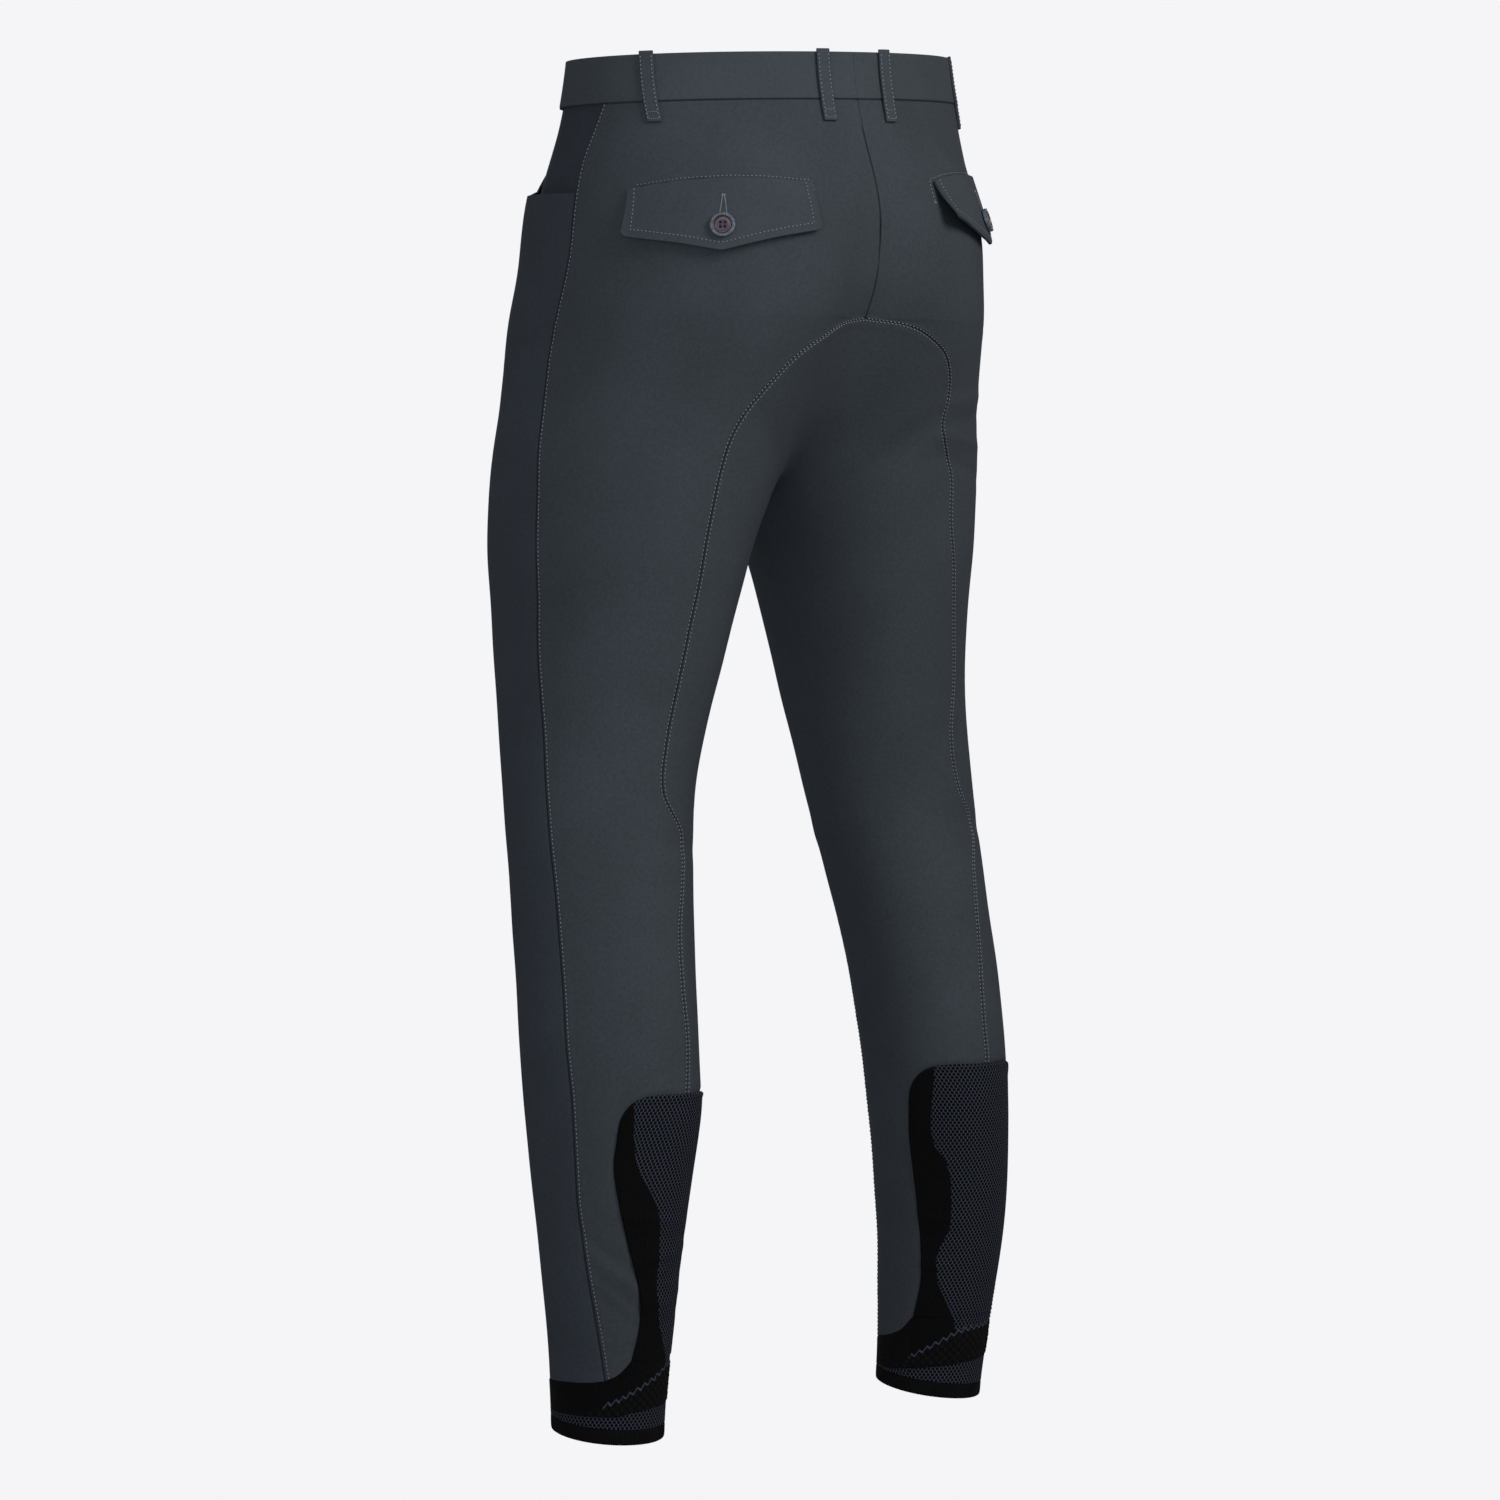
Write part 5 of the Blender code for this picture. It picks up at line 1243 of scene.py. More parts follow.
def mouth_lift(half):
    """How far the front panel stands away from the hip round the pocket's mouth."""
    place, share = np.array(MOUTH_SHAPE).T
    rows, columns = np.broadcast_to(half.rows[:, None], half.columns.shape), half.columns
    ahead = np.maximum(columns - POCKET_EDGE, 0) / (FRONT - POCKET_EDGE)
    ease = MOUTH_GAPE * np.maximum(1 - ahead / MOUTH_AHEAD, 0) ** 1.5
    mouth = half.heights[np.searchsorted(half.rows, POCKET_ROW)]
    edge = half.seam_index[POCKET_EDGE]
    at_mouth = mouth[np.minimum(np.arange(columns.shape[1]), edge)][None, :]
    fade = np.clip(1 - (at_mouth - half.heights) / MOUTH_SLACK, 0, 1) ** 1.1
    low = np.interp(0.5 * np.clip((columns - SIDE) / (POCKET_EDGE - SIDE), 0, 1), place, share)
    high = np.interp(1 - 0.5 * rows / POCKET_ROW, place, share)
    lift = ease * np.where(rows >= POCKET_ROW, fade * low, high)
    return np.where((columns >= SIDE) & (columns <= FRONT), lift, 0)


PANELS = {
    "back": (((0, TONGUE_ROW), (0, SIDE)), ((TONGUE_ROW, ANKLE_ROW), (TONGUE_OUT, SIDE))),
    "front": (((0, POCKET_ROW), (POCKET_EDGE, FRONT)), ((POCKET_ROW, ANKLE_ROW), (SIDE, FRONT))),
    "inner_leg": (((SEAT_ROW, TONGUE_ROW), (FRONT, ROUND)),
                  ((TONGUE_ROW, ANKLE_ROW), (FRONT, TONGUE_IN))),
}
PANEL_CLOTH = {"back": stretch_jersey, "front": front_jersey_painted_shade, "inner_leg": stretch_jersey}
for name, half in halves.items():
    for panel, blocks in PANELS.items():
        rise = mouth_lift(half) if panel == "front" else np.zeros(half.heights.shape)
        mesh = cut_mesh(f"{panel}_{name}", half, blocks, rise)
        cloth_piece(f"{panel}_{name}", mesh, PANEL_CLOTH[panel], "jersey", PANEL_WALL,
                    block_size(half, blocks))

# %% [markdown]
# ## Knitted tongue and cuff
# The tongue and the cuff are one knitted piece that stands a little proud of the cloth round its
# edge. Its quilted band is real relief: two crossed sets of grooves leave little cushions.

# %% Zones of the knit
KNIT_WALL = 1.8 * MM
CUFF_END = {"left": -960.0 * MM, "right": -954.5 * MM}
HEM_HEIGHT = 11.5 * MM
HEM_TILT = {"left": 9.0 * MM, "right": 12.0 * MM}
HEM_TURN = {"left": 0.0, "right": 30.0}
# Edges of the open mesh as (height, angle), and edges of the quilted band as (angle, height).
MESH_OUT = {
    "left": ((-700, 21), (-750, 21), (-768, 19), (-780, 15), (-792, 7), (-806, 0), (-826, -4),
             (-864, -5), (-884, -10), (-904, -19), (-918, -31), (-960, -31)),
    "right": ((-700, 42), (-757, 46), (-798, 45), (-834, 39), (-884, 33), (-912, 60), (-960, 80)),
}
MESH_IN = {
    "left": ((-700, -40), (-766, -45), (-800, -50), (-842, -55), (-884, -60), (-918, -66),
             (-960, -66)),
    "right": ((-700, -38), (-728, -40), (-746, -43), (-766, -45), (-778, -43), (-790, -35),
              (-804, -32), (-824, -31), (-842, -32), (-854, -39), (-864, -42), (-882, -39),
              (-896, -30), (-912, -20), (-960, -10)),
}
QUILT_TOP = {
    "left": ((-180, -955), (-100, -935), (-66, -918), (-31, -920), (25, -942), (60, -952),
             (180, -955)),
    "right": ((-180, -949), (-85, -948), (-55, -936), (-20, -921), (-10, -918), (52, -913),
              (90, -930), (130, -946), (180, -949)),
}
QUILT_END = {
    "left": ((-180, -953), (-52, -947), (13, -952), (27, -955), (180, -953)),
    "right": ((-180, -947), (-85, -949), (-38, -946), (52, -939), (180, -947)),
}
QUILT_PITCH, QUILT_RISE, QUILT_EASE, MESH_OVER_QUILT = 6.5 * MM, 0.9 * MM, 1.2 * MM, 1 * MM
KNIT_PROUD, KNIT_ROUND = 1.1 * MM, 1.6 * MM
KNIT_LIP, LIP_PLACE, LIP_WIDTH, LIP_SIDE = 0.9 * MM, 2.2 * MM, 1.6 * MM, 25 * MM
# Away from its edge the tongue settles to the share of that rise which the cuff has all over.
CUFF_SHARE, SETTLE_FROM, SETTLE = 0.35, 4 * MM, 30 * MM
ANKLE_AXIS = (0.152, 0.022)
# The zigzag thread's stretch of the border, in degrees.
ZIGZAG_REACH = {"left": (-70, 43), "right": (-64, 70)}


def read_line(table, at):
    """Read a two-column table at places."""
    line = np.array(sorted(table), float)
    return np.interp(at, line[:, 0], line[:, 1])


# %% Knit grid
KNIT_FINE, TONGUE_FINE_ROWS, CUFF_FINE_ROWS, GIRTH_ROW = 10, 34, 38, 3


def ankle_ring(half):
    """Angles and heights of the ankle row, once round from the tongue's inner edge."""
    columns = np.arange(ROUND * KNIT_FINE) / KNIT_FINE + TONGUE_IN
    over = columns > ROUND + TONGUE_OUT
    angles, heights = half.places(np.array([float(ANKLE_ROW)]),
                                  np.where(over, columns - ROUND, columns)[None, :])
    return np.where(over, angles[0] + 2 * np.pi, angles[0]), heights[0]


def knit_places(half):
    """Angles and heights of the tongue's grid and of the cuff's grid under it."""
    rows = np.linspace(TONGUE_ROW, ANKLE_ROW, (ANKLE_ROW - TONGUE_ROW) * TONGUE_FINE_ROWS + 1)
    columns = np.linspace(TONGUE_IN, ROUND + TONGUE_OUT,
                          (ROUND + TONGUE_OUT - TONGUE_IN) * KNIT_FINE + 1)
    tongue = half.places(rows, np.broadcast_to(columns, (len(rows), len(columns))))
    angle, ankle = ankle_ring(half)
    end = CUFF_END[half.name] - HEM_TILT[half.name] / 2 * np.cos(
        angle - math.radians(HEM_TURN[half.name]))
    share = np.linspace(0, 1, CUFF_FINE_ROWS + 1)[:, None]
    cuff = (np.broadcast_to(angle, (len(share), len(angle))), ankle + (end - ankle) * share)
    return tongue, cuff, end


# %% Relief and pattern distances of the knit
def knit_part(half, angles, heights, middle):
    """Skin, rise and pattern distances of one grid of the knit."""
    base, normals = skin_points(half.side, angles, heights)
    turn = (np.degrees(angles) + 180) % 360 - 180
    level = heights / MM
    radius = np.hypot(base[..., 0] - half.side * ANKLE_AXIS[0], base[..., 1] - ANKLE_AXIS[1])
    sides = np.minimum(read_line(MESH_OUT[half.name], level) - turn,
                       turn - read_line(MESH_IN[half.name], level))
    top, low = (read_line(table[half.name], turn) * MM for table in (QUILT_TOP, QUILT_END))
    mesh_zone = np.minimum(np.radians(sides) * radius, heights - top - MESH_OVER_QUILT)
    girth = lengths(base, 1)
    u = girth - girth[:, middle][:, None]
    quilt = np.minimum(top - heights, heights - low)
    a, b = (u + heights) / QUILT_PITCH, (u - heights) / QUILT_PITCH
    puff = (np.clip(quilt / QUILT_EASE + 0.3, 0, 1)
            * (np.abs(np.sin(np.pi * a)) * np.abs(np.sin(np.pi * b))) ** 0.5)
    first, last = ZIGZAG_REACH[half.name]
    return {"base": base, "normals": normals, "flat": np.stack([u, heights], -1), "quilt": puff,
            "rise": puff * QUILT_RISE + fold_rise(half.side, angles, heights, FOLDS + KNIT_FOLDS),
            "mesh": np.maximum(mesh_zone, low - heights),
            "border": np.where((turn > first) & (turn < last), heights - top, 1.0)}


def tongue_lift(base):
    """How far the tongue stands proud: rounded at its edge, with a lip along its top."""
    across, down = lengths(base, 1), lengths(base, 0)
    side = np.minimum(across, across[:, -1:] - across)
    edge = np.minimum(side, down)
    lip = KNIT_LIP * bell(down - LIP_PLACE, LIP_WIDTH) * np.clip(side / LIP_SIDE - 0.2, 0, 1)
    rounded = 1 - (1 - np.clip(edge / KNIT_ROUND, 0, 1)) ** 2
    settle = CUFF_SHARE + (1 - CUFF_SHARE) * np.exp(-np.maximum(edge - SETTLE_FROM, 0) / SETTLE)
    return lip + KNIT_PROUD * rounded * settle


# %% Knit pieces
def build_knit(half):
    """Tongue and cuff as one sheet; gives the heights at which the cuff ends."""
    places, cuff_places, end = knit_places(half)
    wide = places[0].shape[1]
    tongue, cuff = (knit_part(half, *grid, wide // 2) for grid in (places, cuff_places))
    tongue["rise"] += tongue_lift(tongue["base"])
    cuff["rise"] += KNIT_PROUD * CUFF_SHARE
    cuff["rise"][:2, wide:] = 0.0
    for part in (tongue, cuff):
        part["points"] = part["base"] + part["normals"] * part["rise"][..., None]
    # The cuff's first row is the tongue's last one, so the tongue gives that row up.
    rows, columns = tongue["rise"].shape[0] - 1, cuff["rise"].shape[1]
    joined = {}
    for key, value in tongue.items():
        size = value[0, 0].size
        joined[key] = np.concatenate([part.reshape(-1, size) for part in (value[:-1], cuff[key])])
    quads = np.concatenate([band_quads(rows, wide, False),
                            band_quads(CUFF_FINE_ROWS, columns, True, rows * wide)])
    mesh = sheet_mesh(f"gaiter_{half.name}", joined["points"], joined["normals"], quads, joined["flat"])
    for attribute in ("mesh", "quilt", "border"):
        store(mesh, attribute, joined[attribute])
    # The girth is read a few rows below the cuff's start.
    ring = cuff["points"][GIRTH_ROW]
    girth = float(lengths(np.vstack([ring, ring[:1]]))[-1])
    length = sum(float(lengths(part["points"])[-1].max()) for part in (tongue, cuff))
    cloth_piece(f"gaiter_{half.name}", mesh, calf_knit, "knit", KNIT_WALL, (girth, length))
    return end


KNIT_FOLDS = (
    ("left", 4, -812, 26, 4, 8, 0.9),
    ("left", -2, -826, 30, 4, 4, -0.7),
    ("left", -4, -840, 30, 4, -8, 1.0),
    ("left", -10, -856, 26, 4, -4, -0.7),
    ("left", -12, -872, 26, 4, -10, 1.0),
    ("left", -16, -888, 24, 4, -14, -0.7),
    ("right", -48, -832, 26, 4, -8, 0.9),
    ("right", -50, -846, 24, 4, -4, -0.6),
    ("right", -52, -868, 24, 4, 6, 0.8),
)
cuff_ends = {name: build_knit(half) for name, half in halves.items()}

# %% [markdown]
# ## Ribbed hem
# A tube of rib knit rolled on itself ends the leg. Its section is a flattened roll, and every
# rib is a real ridge.

# %% Hem
HEM_WALL, HEM_PROUD, HEM_ROLL, HEM_TUCK = 2.4 * MM, 0.3 * MM, 1.0 * MM, 0.3 * MM
HEM_RIB, HEM_RIB_RISE = 1.5 * MM, 0.14 * MM
HEM_ROWS, HEM_FINE = 16, 3
# How much longer and higher the flat band is than the roll.
HEM_CUT = (1.02, 1.08)


def build_hem(half, end):
    """Rolled hem under the cuff; end gives the cuff's lower edge at its columns."""
    angle = ankle_ring(half)[0]
    at, whole_columns = np.arange(len(end) * HEM_FINE) / HEM_FINE, np.arange(len(end) + 1)
    angle = np.interp(at, whole_columns, np.append(angle, angle[0] + 2 * np.pi))
    level = np.interp(at, whole_columns, np.append(end, end[0]))
    share = np.linspace(0, 1, HEM_ROWS + 1)[:, None]
    heights = level - HEM_HEIGHT * share
    base, normals = skin_points(half.side, np.broadcast_to(angle, heights.shape), heights)
    girth = lengths(base, 1)
    whole = girth[:, -1:] + np.linalg.norm(base[:, 0] - base[:, -1], axis=-1)[:, None]
    count = round(float(whole.mean()) / HEM_RIB)
    rib = HEM_RIB_RISE * np.sin(girth / whole * count * 2 * np.pi)
    roll = HEM_ROLL * (np.sqrt(np.clip(1 - (2 * share - 1) ** 4, 0, 1)) - 1)
    points = base + normals * (HEM_PROUD + rib + roll)[..., None]
    points[-1] -= normals[-1] * HEM_TUCK
    mesh = sheet_mesh(f"hem_{half.name}", points.reshape(-1, 3), normals.reshape(-1, 3),
                      band_quads(HEM_ROWS, len(at), True),
                      np.stack([girth, heights], -1).reshape(-1, 2))
    cloth_piece(f"hem_{half.name}", mesh, hem_knit, "hem", HEM_WALL,
                (float(whole.max()) * HEM_CUT[0], HEM_HEIGHT * HEM_CUT[1]), 0.5 * MM, layers=2)


for name, half in halves.items():
    build_hem(half, cuff_ends[name])

# %% [markdown]
# ## Waistband
# Two layers of cloth with a turned top edge, cut in a left and a right half. At the front the
# left half runs on over the right one, where the button holds it.

# %% Waistband
BAND_HEIGHT, BAND_WALL, BAND_LIFT = 34.0 * MM, 2.6 * MM, 0.4 * MM
WAIST_OVERLAP, WAIST_OVERLAP_GAP, OVERLAP_EASE = 40 * MM, 0.6 * MM, 9 * MM
BAND_DIP, BAND_DIP_WIDTH = 0.5 * MM, 1.3 * MM
BAND_ROWS, LAP_STEPS = 22, 25
# The flat band is a little higher than the worn one, and stiffer than the single cloth.
BAND_CUT, BAND_UNEVEN = 1.02, 0.6


def build_waistband(half):
    """One half of the waistband."""
    front = half.seam_index[FRONT]
    angles = half.angles[0, :front + 1]
    lift = np.full(len(angles), BAND_LIFT)
    if half.name == "left":
        radius = np.linalg.norm(skin_points(1, angles[-1], 0.0, own_side=False)[0][:2])
        share = np.linspace(0, 1, LAP_STEPS + 1)[1:]
        over = BAND_LIFT + BAND_WALL + WAIST_OVERLAP_GAP
        step_up = np.clip((angles - angles[-1]) * radius / OVERLAP_EASE + 1, 0, 1)
        lift = BAND_LIFT + (over - BAND_LIFT) * eased(step_up)
        angles = np.concatenate([angles, angles[-1] + share * WAIST_OVERLAP / radius])
        lift = np.concatenate([lift, np.full(len(share), over)])
    levels = np.linspace(ROWS[0][0] * MM, BAND_HEIGHT / 2, BAND_ROWS + 1)[:, None]
    grid = np.broadcast_to(angles, (len(levels), len(angles))).copy()
    to_front = np.clip((angles - angles[0]) / (angles[front] - angles[0]), 0, 1)
    for row, level in enumerate(levels[:, 0]):
        back_shift = centre_angle(level, False) - angles[0]
        front_shift = centre_angle(level, True) - angles[front]
        grid[row] += back_shift + (front_shift - back_shift) * to_front
    heights = np.broadcast_to(levels, grid.shape)
    base, normals = skin_points(half.side, grid, heights, own_side=False)
    from_seam = heights - levels[0]
    rise = lift + UNEVEN * BAND_UNEVEN * uneven(base) - BAND_DIP * bell(from_seam, BAND_DIP_WIDTH)
    points = base + normals * rise[..., None]
    arcs = lengths(points, 1)
    mesh = grid_mesh(f"waistband_{half.name}", points, normals, np.stack([arcs, heights], -1))
    # Painted shade along the waistband's lower seam, for the jersey's colour.
    store(mesh, "sewn", np.maximum(SEAM_SHADE_REACH - from_seam, 0))
    cloth_piece(f"waistband_{half.name}", mesh, doubled_jersey, "band", BAND_WALL,
                (float(arcs[:, -1].max()), BAND_HEIGHT * BAND_CUT), 0.8 * MM)


for half in halves.values():
    build_waistband(half)


# %% [markdown]
# ## Small sheets on the hips
# The pocket facing shows inside the front pocket. The back flaps end in a point and stand away
# from the seat at their lower edge. Belt loops are narrow strips, sewn down at both ends.

# %% Strip maker
def small_sheet(name, side, angles, heights, rise, material, slot, thickness, rounded):
    """Make a sheet from a grid of places and a rise over the skin; gives its points and normals."""
    base, normals = skin_points(side, angles, heights)
    points = base + normals * np.broadcast_to(rise, heights.shape)[..., None]
    across, down = lengths(points, 1), lengths(points, 0)
    middle = across[:, across.shape[1] // 2][:, None]
    mesh = grid_mesh(name, points, normals, np.stack([across - middle, -down], -1))
    size = float(across[:, -1].max()) * 1.001, float(down[-1].max()) * 1.001
    cloth_piece(name, mesh, material, slot, thickness, size, rounded)
    return points, outward_normals(points, normals)


# %% Pocket facings
FACING_SET_IN, FACING_OVERLAP = 2.6 * MM, 30 * MM
FACING_UNDER_BAND = 3 * MM
# A short crease runs up from the side seam.
FACING_CREASE = {"reach": 20 * MM, "level": -72 * MM, "slope": 0.6, "length": 13 * MM,
                 "width": 3.2 * MM, "rise": 1.6 * MM}
FACING_GRID = 44


def build_facing(half):
    """Cloth inside the front pocket, with a soft slanting crease."""
    down, over = np.meshgrid(np.linspace(0, 1, FACING_GRID), np.linspace(0, 1, FACING_GRID),
                             indexing="ij")
    reach, drop = pocket_place(over, down)
    top = ROWS[0][0] * MM
    heights = top + FACING_UNDER_BAND - (POCKET_DROP + FACING_OVERLAP + FACING_UNDER_BAND) * drop
    reach = (POCKET_REACH + FACING_OVERLAP) * reach
    angles = pocket_angle(half.side, np.minimum(heights, top), reach)
    fold = FACING_CREASE
    along = reach - fold["reach"]
    over_line = heights - fold["level"] - fold["slope"] * along
    crease = fold["rise"] * bell(over_line, fold["width"]) * bell(along, fold["length"])
    rise = crease - FACING_SET_IN
    small_sheet(f"pocket_facing_{half.name}", half.side, angles, heights, rise, facing_jersey,
                "jersey", PANEL_WALL, 0.0)


for half in halves.values():
    build_facing(half)

# %% Flap cloth
SITTING_GAP, FLAP_WALL = 0.4 * MM, 2.2 * MM
FLAP_HEM, FLAP_HEM_WIDTH, FLAP_HEM_SLOPE = 0.35 * MM, 6.2 * MM, 1.0 * MM
# Rounds the point's tip a little.
POINT_SOFTNESS = 0.0012
FLAP_CORNER_COLUMNS = ("inner_lift", "inner_rise", "outer_lift")
FLAP_CORNER = {"left": (0, 0, 4 * MM), "right": (10.4 * MM, 5 * MM, 0)}
FLAP_COLUMNS, FLAP_ROWS, FLAP_LEVELS = 120, 44, 26


def build_flap(half):
    """Back pocket flap: a rounded point below, standing off the seat there."""
    shares = np.linspace(0, 1, FLAP_COLUMNS)
    downs = np.linspace(0, 1, FLAP_ROWS)[:, None]
    own = dict(zip(FLAP_CORNER_COLUMNS, FLAP_CORNER[half.name]))
    width = FLAP["to"] - FLAP["from"]
    point_share = np.maximum(1 - np.sqrt((2 * shares - 1) ** 2 + POINT_SOFTNESS), 0)
    to_inner = np.clip(1 - shares / FLAP["corner_reach"], 0, 1) ** 2
    to_outer = np.clip(1 - (1 - shares) / FLAP["corner_reach"], 0, 1) ** 2
    drops = FLAP["side_drop"] + (FLAP["point_drop"] - FLAP["side_drop"]) * point_share
    drops = drops - own["inner_rise"] * to_inner
    from_end = np.minimum(shares, 1 - shares) * width
    bite = np.clip(1 - from_end / FLAP["corner"], 0, 1)
    drops = drops - FLAP["corner"] * (1 - np.sqrt(1 - bite ** 2)) * FLAP["corner_share"]
    arcs = FLAP["from"] + width * shares
    arcs_below = FLAP["from_below"] + (FLAP["to_below"] - FLAP["from_below"]) * shares
    heights = flap_top(half.name, arcs) - drops * downs
    levels = np.linspace(heights.min(), heights.max(), FLAP_LEVELS)
    ends = [arc_angles(half.side, levels[:, None], line) for line in (arcs, arcs_below)]
    above, below = (np.stack([np.interp(height, levels, line)
                              for height, line in zip(heights.T, table.T)], 1) for table in ends)
    angles = above + (below - above) * downs
    reach = FLAP["stand_off"] * (FLAP["side_share"] + (1 - FLAP["side_share"]) * point_share)
    reach = reach + own["inner_lift"] * to_inner + own["outer_lift"] * to_outer
    stand_off = reach * downs ** FLAP["curl"]
    near_edge = np.minimum(from_end, drops * (1 - downs))
    hem = FLAP_HEM * np.clip((FLAP_HEM_WIDTH - near_edge) / FLAP_HEM_SLOPE, 0, 1)
    soft = UNEVEN * uneven(skin_points(half.side, angles, heights)[0] * 1.6)
    rise = SITTING_GAP + FLAP_WALL + stand_off + hem + soft * downs
    return small_sheet(f"flap_{half.name}", half.side, angles, heights, rise, flap_jersey,
                       "jersey", FLAP_WALL, 0.7 * MM)


flap_grids = {name: build_flap(half) for name, half in halves.items()}

# %% Belt loop cloth
LOOPS = {"back": 28 * MM, "side": 158 * MM, "front": -72 * MM}
LOOP = {"width": 11 * MM, "top": 19 * MM, "bottom": -33 * MM, "wall": 2.0 * MM, "bow": 0.3 * MM,
        "edge_from": 4.6 * MM, "edge_drop": 0.25 * MM}
LOOP_ROWS, LOOP_COLUMNS = 60, 13


def build_loop(name, half, arc):
    """Belt loop: bound to the waistband at its top, sewn to the panel below."""
    down = np.linspace(0, 1, LOOP_ROWS)[:, None]
    across = np.linspace(-0.5, 0.5, LOOP_COLUMNS) * LOOP["width"]
    levels = LOOP["top"] + (LOOP["bottom"] - LOOP["top"]) * down
    angles = arc_angles(half.side, levels, arc + across)
    heights = np.broadcast_to(levels, angles.shape)
    bow = np.clip(np.sin(np.pi * down) * 2.2, 0, 1) * LOOP["bow"]
    on_band = BAND_LIFT * np.clip((levels - ROWS[0][0] * MM) / (3 * MM) + 1, 0, 1)
    edge = LOOP["edge_drop"] * (np.abs(across) > LOOP["edge_from"])
    rise = SITTING_GAP + LOOP["wall"] + on_band + bow - edge
    return small_sheet(name, half.side, angles, heights, rise, doubled_jersey, "band",
                       LOOP["wall"], 0.5 * MM)


loop_grids = {(name, place): build_loop(f"belt_loop_{place}_{name}", half, arc)
              for name, half in halves.items() for place, arc in LOOPS.items()}

# %% [markdown]
# ## Sewing
# A lockstitch shows as a row of short bars of thread, each diving into a needle hole at both
# ends. One stitch is a small closed spindle of forty triangles, and a row sets copies of it along
# a line on the cloth. Satin stitches, as round a buttonhole, lie side by side across their line.

# %% Stitch maker
# The thread is drawn thicker than a real one, and its stitches a little longer, so that they show.
STITCH_PITCH, STITCH_LENGTH, STITCH_THICK = 3.0 * MM, 2.6 * MM, 0.64 * MM
# Rings of one stitch: place along it, girth, height over the cloth in mm, and shade.
STITCH_RINGS = ((0, 0, -0.12, 0), (0.18, 0.8, 0.04, 0), (0.3, 1, 0.17, 1), (0.7, 1, 0.17, 1),
                (0.82, 0.8, 0.04, 0), (1, 0, -0.12, 0))
STITCH_SIDES, SMALL_STEP = 5, 0.3 * MM
sewing = {}


def along_line(points, normals, pitch):
    """Centres, directions and normals at even steps along a line on the cloth."""
    arc = lengths(points, 0)
    count = max(round(float(arc[-1]) / pitch), 1)
    at = (np.arange(count) + 0.5) * arc[-1] / count
    centres, up, after, before = (
        np.stack([np.interp(places, arc, table[:, k]) for k in range(3)], -1)
        for table, places in ((points, at), (normals, at), (points, at + SMALL_STEP),
                              (points, at - SMALL_STEP)))
    return centres, unit(after - before), unit(up)


def add_stitches(group, centres, along, up, length=STITCH_LENGTH, thick=STITCH_THICK):
    """Add straight stitches to a group: each lies along its direction on the cloth."""
    side = unit(np.cross(up, along))
    turns = np.arange(STITCH_SIDES) / STITCH_SIDES * 2 * np.pi
    points, shades = [], []
    for place, girth, height, shade in STITCH_RINGS:
        middle = centres + along * ((place - 0.5) * length) + up * (height * MM)
        for turn in (turns if girth else turns[:1]):
            points.append(middle + (side * math.cos(turn) + up * math.sin(turn)) * thick / 2 * girth)
            shades.append(np.full(len(centres), shade, float))
    last = len(points) - 1
    faces = []
    for k in range(STITCH_SIDES):
        after = (k + 1) % STITCH_SIDES
        faces.append((0, 1 + k, 1 + after))
        faces.append((last, last - STITCH_SIDES + after, last - STITCH_SIDES + k))
        for ring in range(len(STITCH_RINGS) - 3):
            a, b = 1 + ring * STITCH_SIDES + k, 1 + ring * STITCH_SIDES + after
            faces.append((a, a + STITCH_SIDES, b + STITCH_SIDES, b))
    sewing.setdefault(group, []).append((np.stack(points, 1), np.stack(shades, 1), faces))


def sew_line(group, line, pitch=STITCH_PITCH, **size):
    """Sew a row of stitches along (points, normals)."""
    add_stitches(group, *along_line(*line, pitch), **size)


def satin(group, line, pitch, length, thick):
    """Sew stitches side by side across a line."""
    centres, along, up = along_line(*line, pitch)
    add_stitches(group, centres, unit(np.cross(up, along)), up, length, thick)


# %% Lines on the cloth
def on_cloth(piece, points):
    """Put points on the outer face of a finished piece, with its normals there."""
    spots, ways = [], []
    for point in points:
        _, spot, way, _ = piece.closest_point_on_mesh(Vector(point))
        spots.append(spot)
        ways.append(way)
    ways = np.array(ways)
    for _ in range(3):
        ways[1:-1] = (ways[:-2] + ways[1:-1] + ways[2:]) / 3
    return np.array(spots), unit(ways)


def on_skin(half, arcs, heights, lift=2.0 * MM):
    """Points a little over the skin at arc lengths from the centre back and heights."""
    points, normals = skin_points(half.side, arc_angles(half.side, heights, arcs), heights)
    return points + normals * lift


def grid_line(grid, rows, columns):
    """Read (points, normals) of a grid at fractional rows and columns."""
    made = []
    for table in grid:
        r, c = np.clip(rows, 0, table.shape[0] - 1.001), np.clip(columns, 0, table.shape[1] - 1.001)
        i, j = r.astype(int), c.astype(int)
        u, v = (r - i)[:, None], (c - j)[:, None]
        made.append((table[i, j] * (1 - u) + table[i + 1, j] * u) * (1 - v)
                    + (table[i, j + 1] * (1 - u) + table[i + 1, j + 1] * u) * v)
    return made


# %% Seams of the legs
SIDE_ROW, DOUBLE_ROW = -3.0 * MM, 1.6 * MM
for name, half in halves.items():
    sew_line(f"outseam_{name}", half.line(SIDE, SIDE_ROW, 0, ANKLE_ROW))
    for column, offset, last in ((0, DOUBLE_ROW, TONGUE_ROW), (ROUND, -DOUBLE_ROW, TONGUE_ROW),
                                 (FRONT, DOUBLE_ROW, ANKLE_ROW), (FRONT, -DOUBLE_ROW, ANKLE_ROW)):
        sew_line(f"inner_seams_{name}", half.line(column, offset, SEAT_ROW, last))

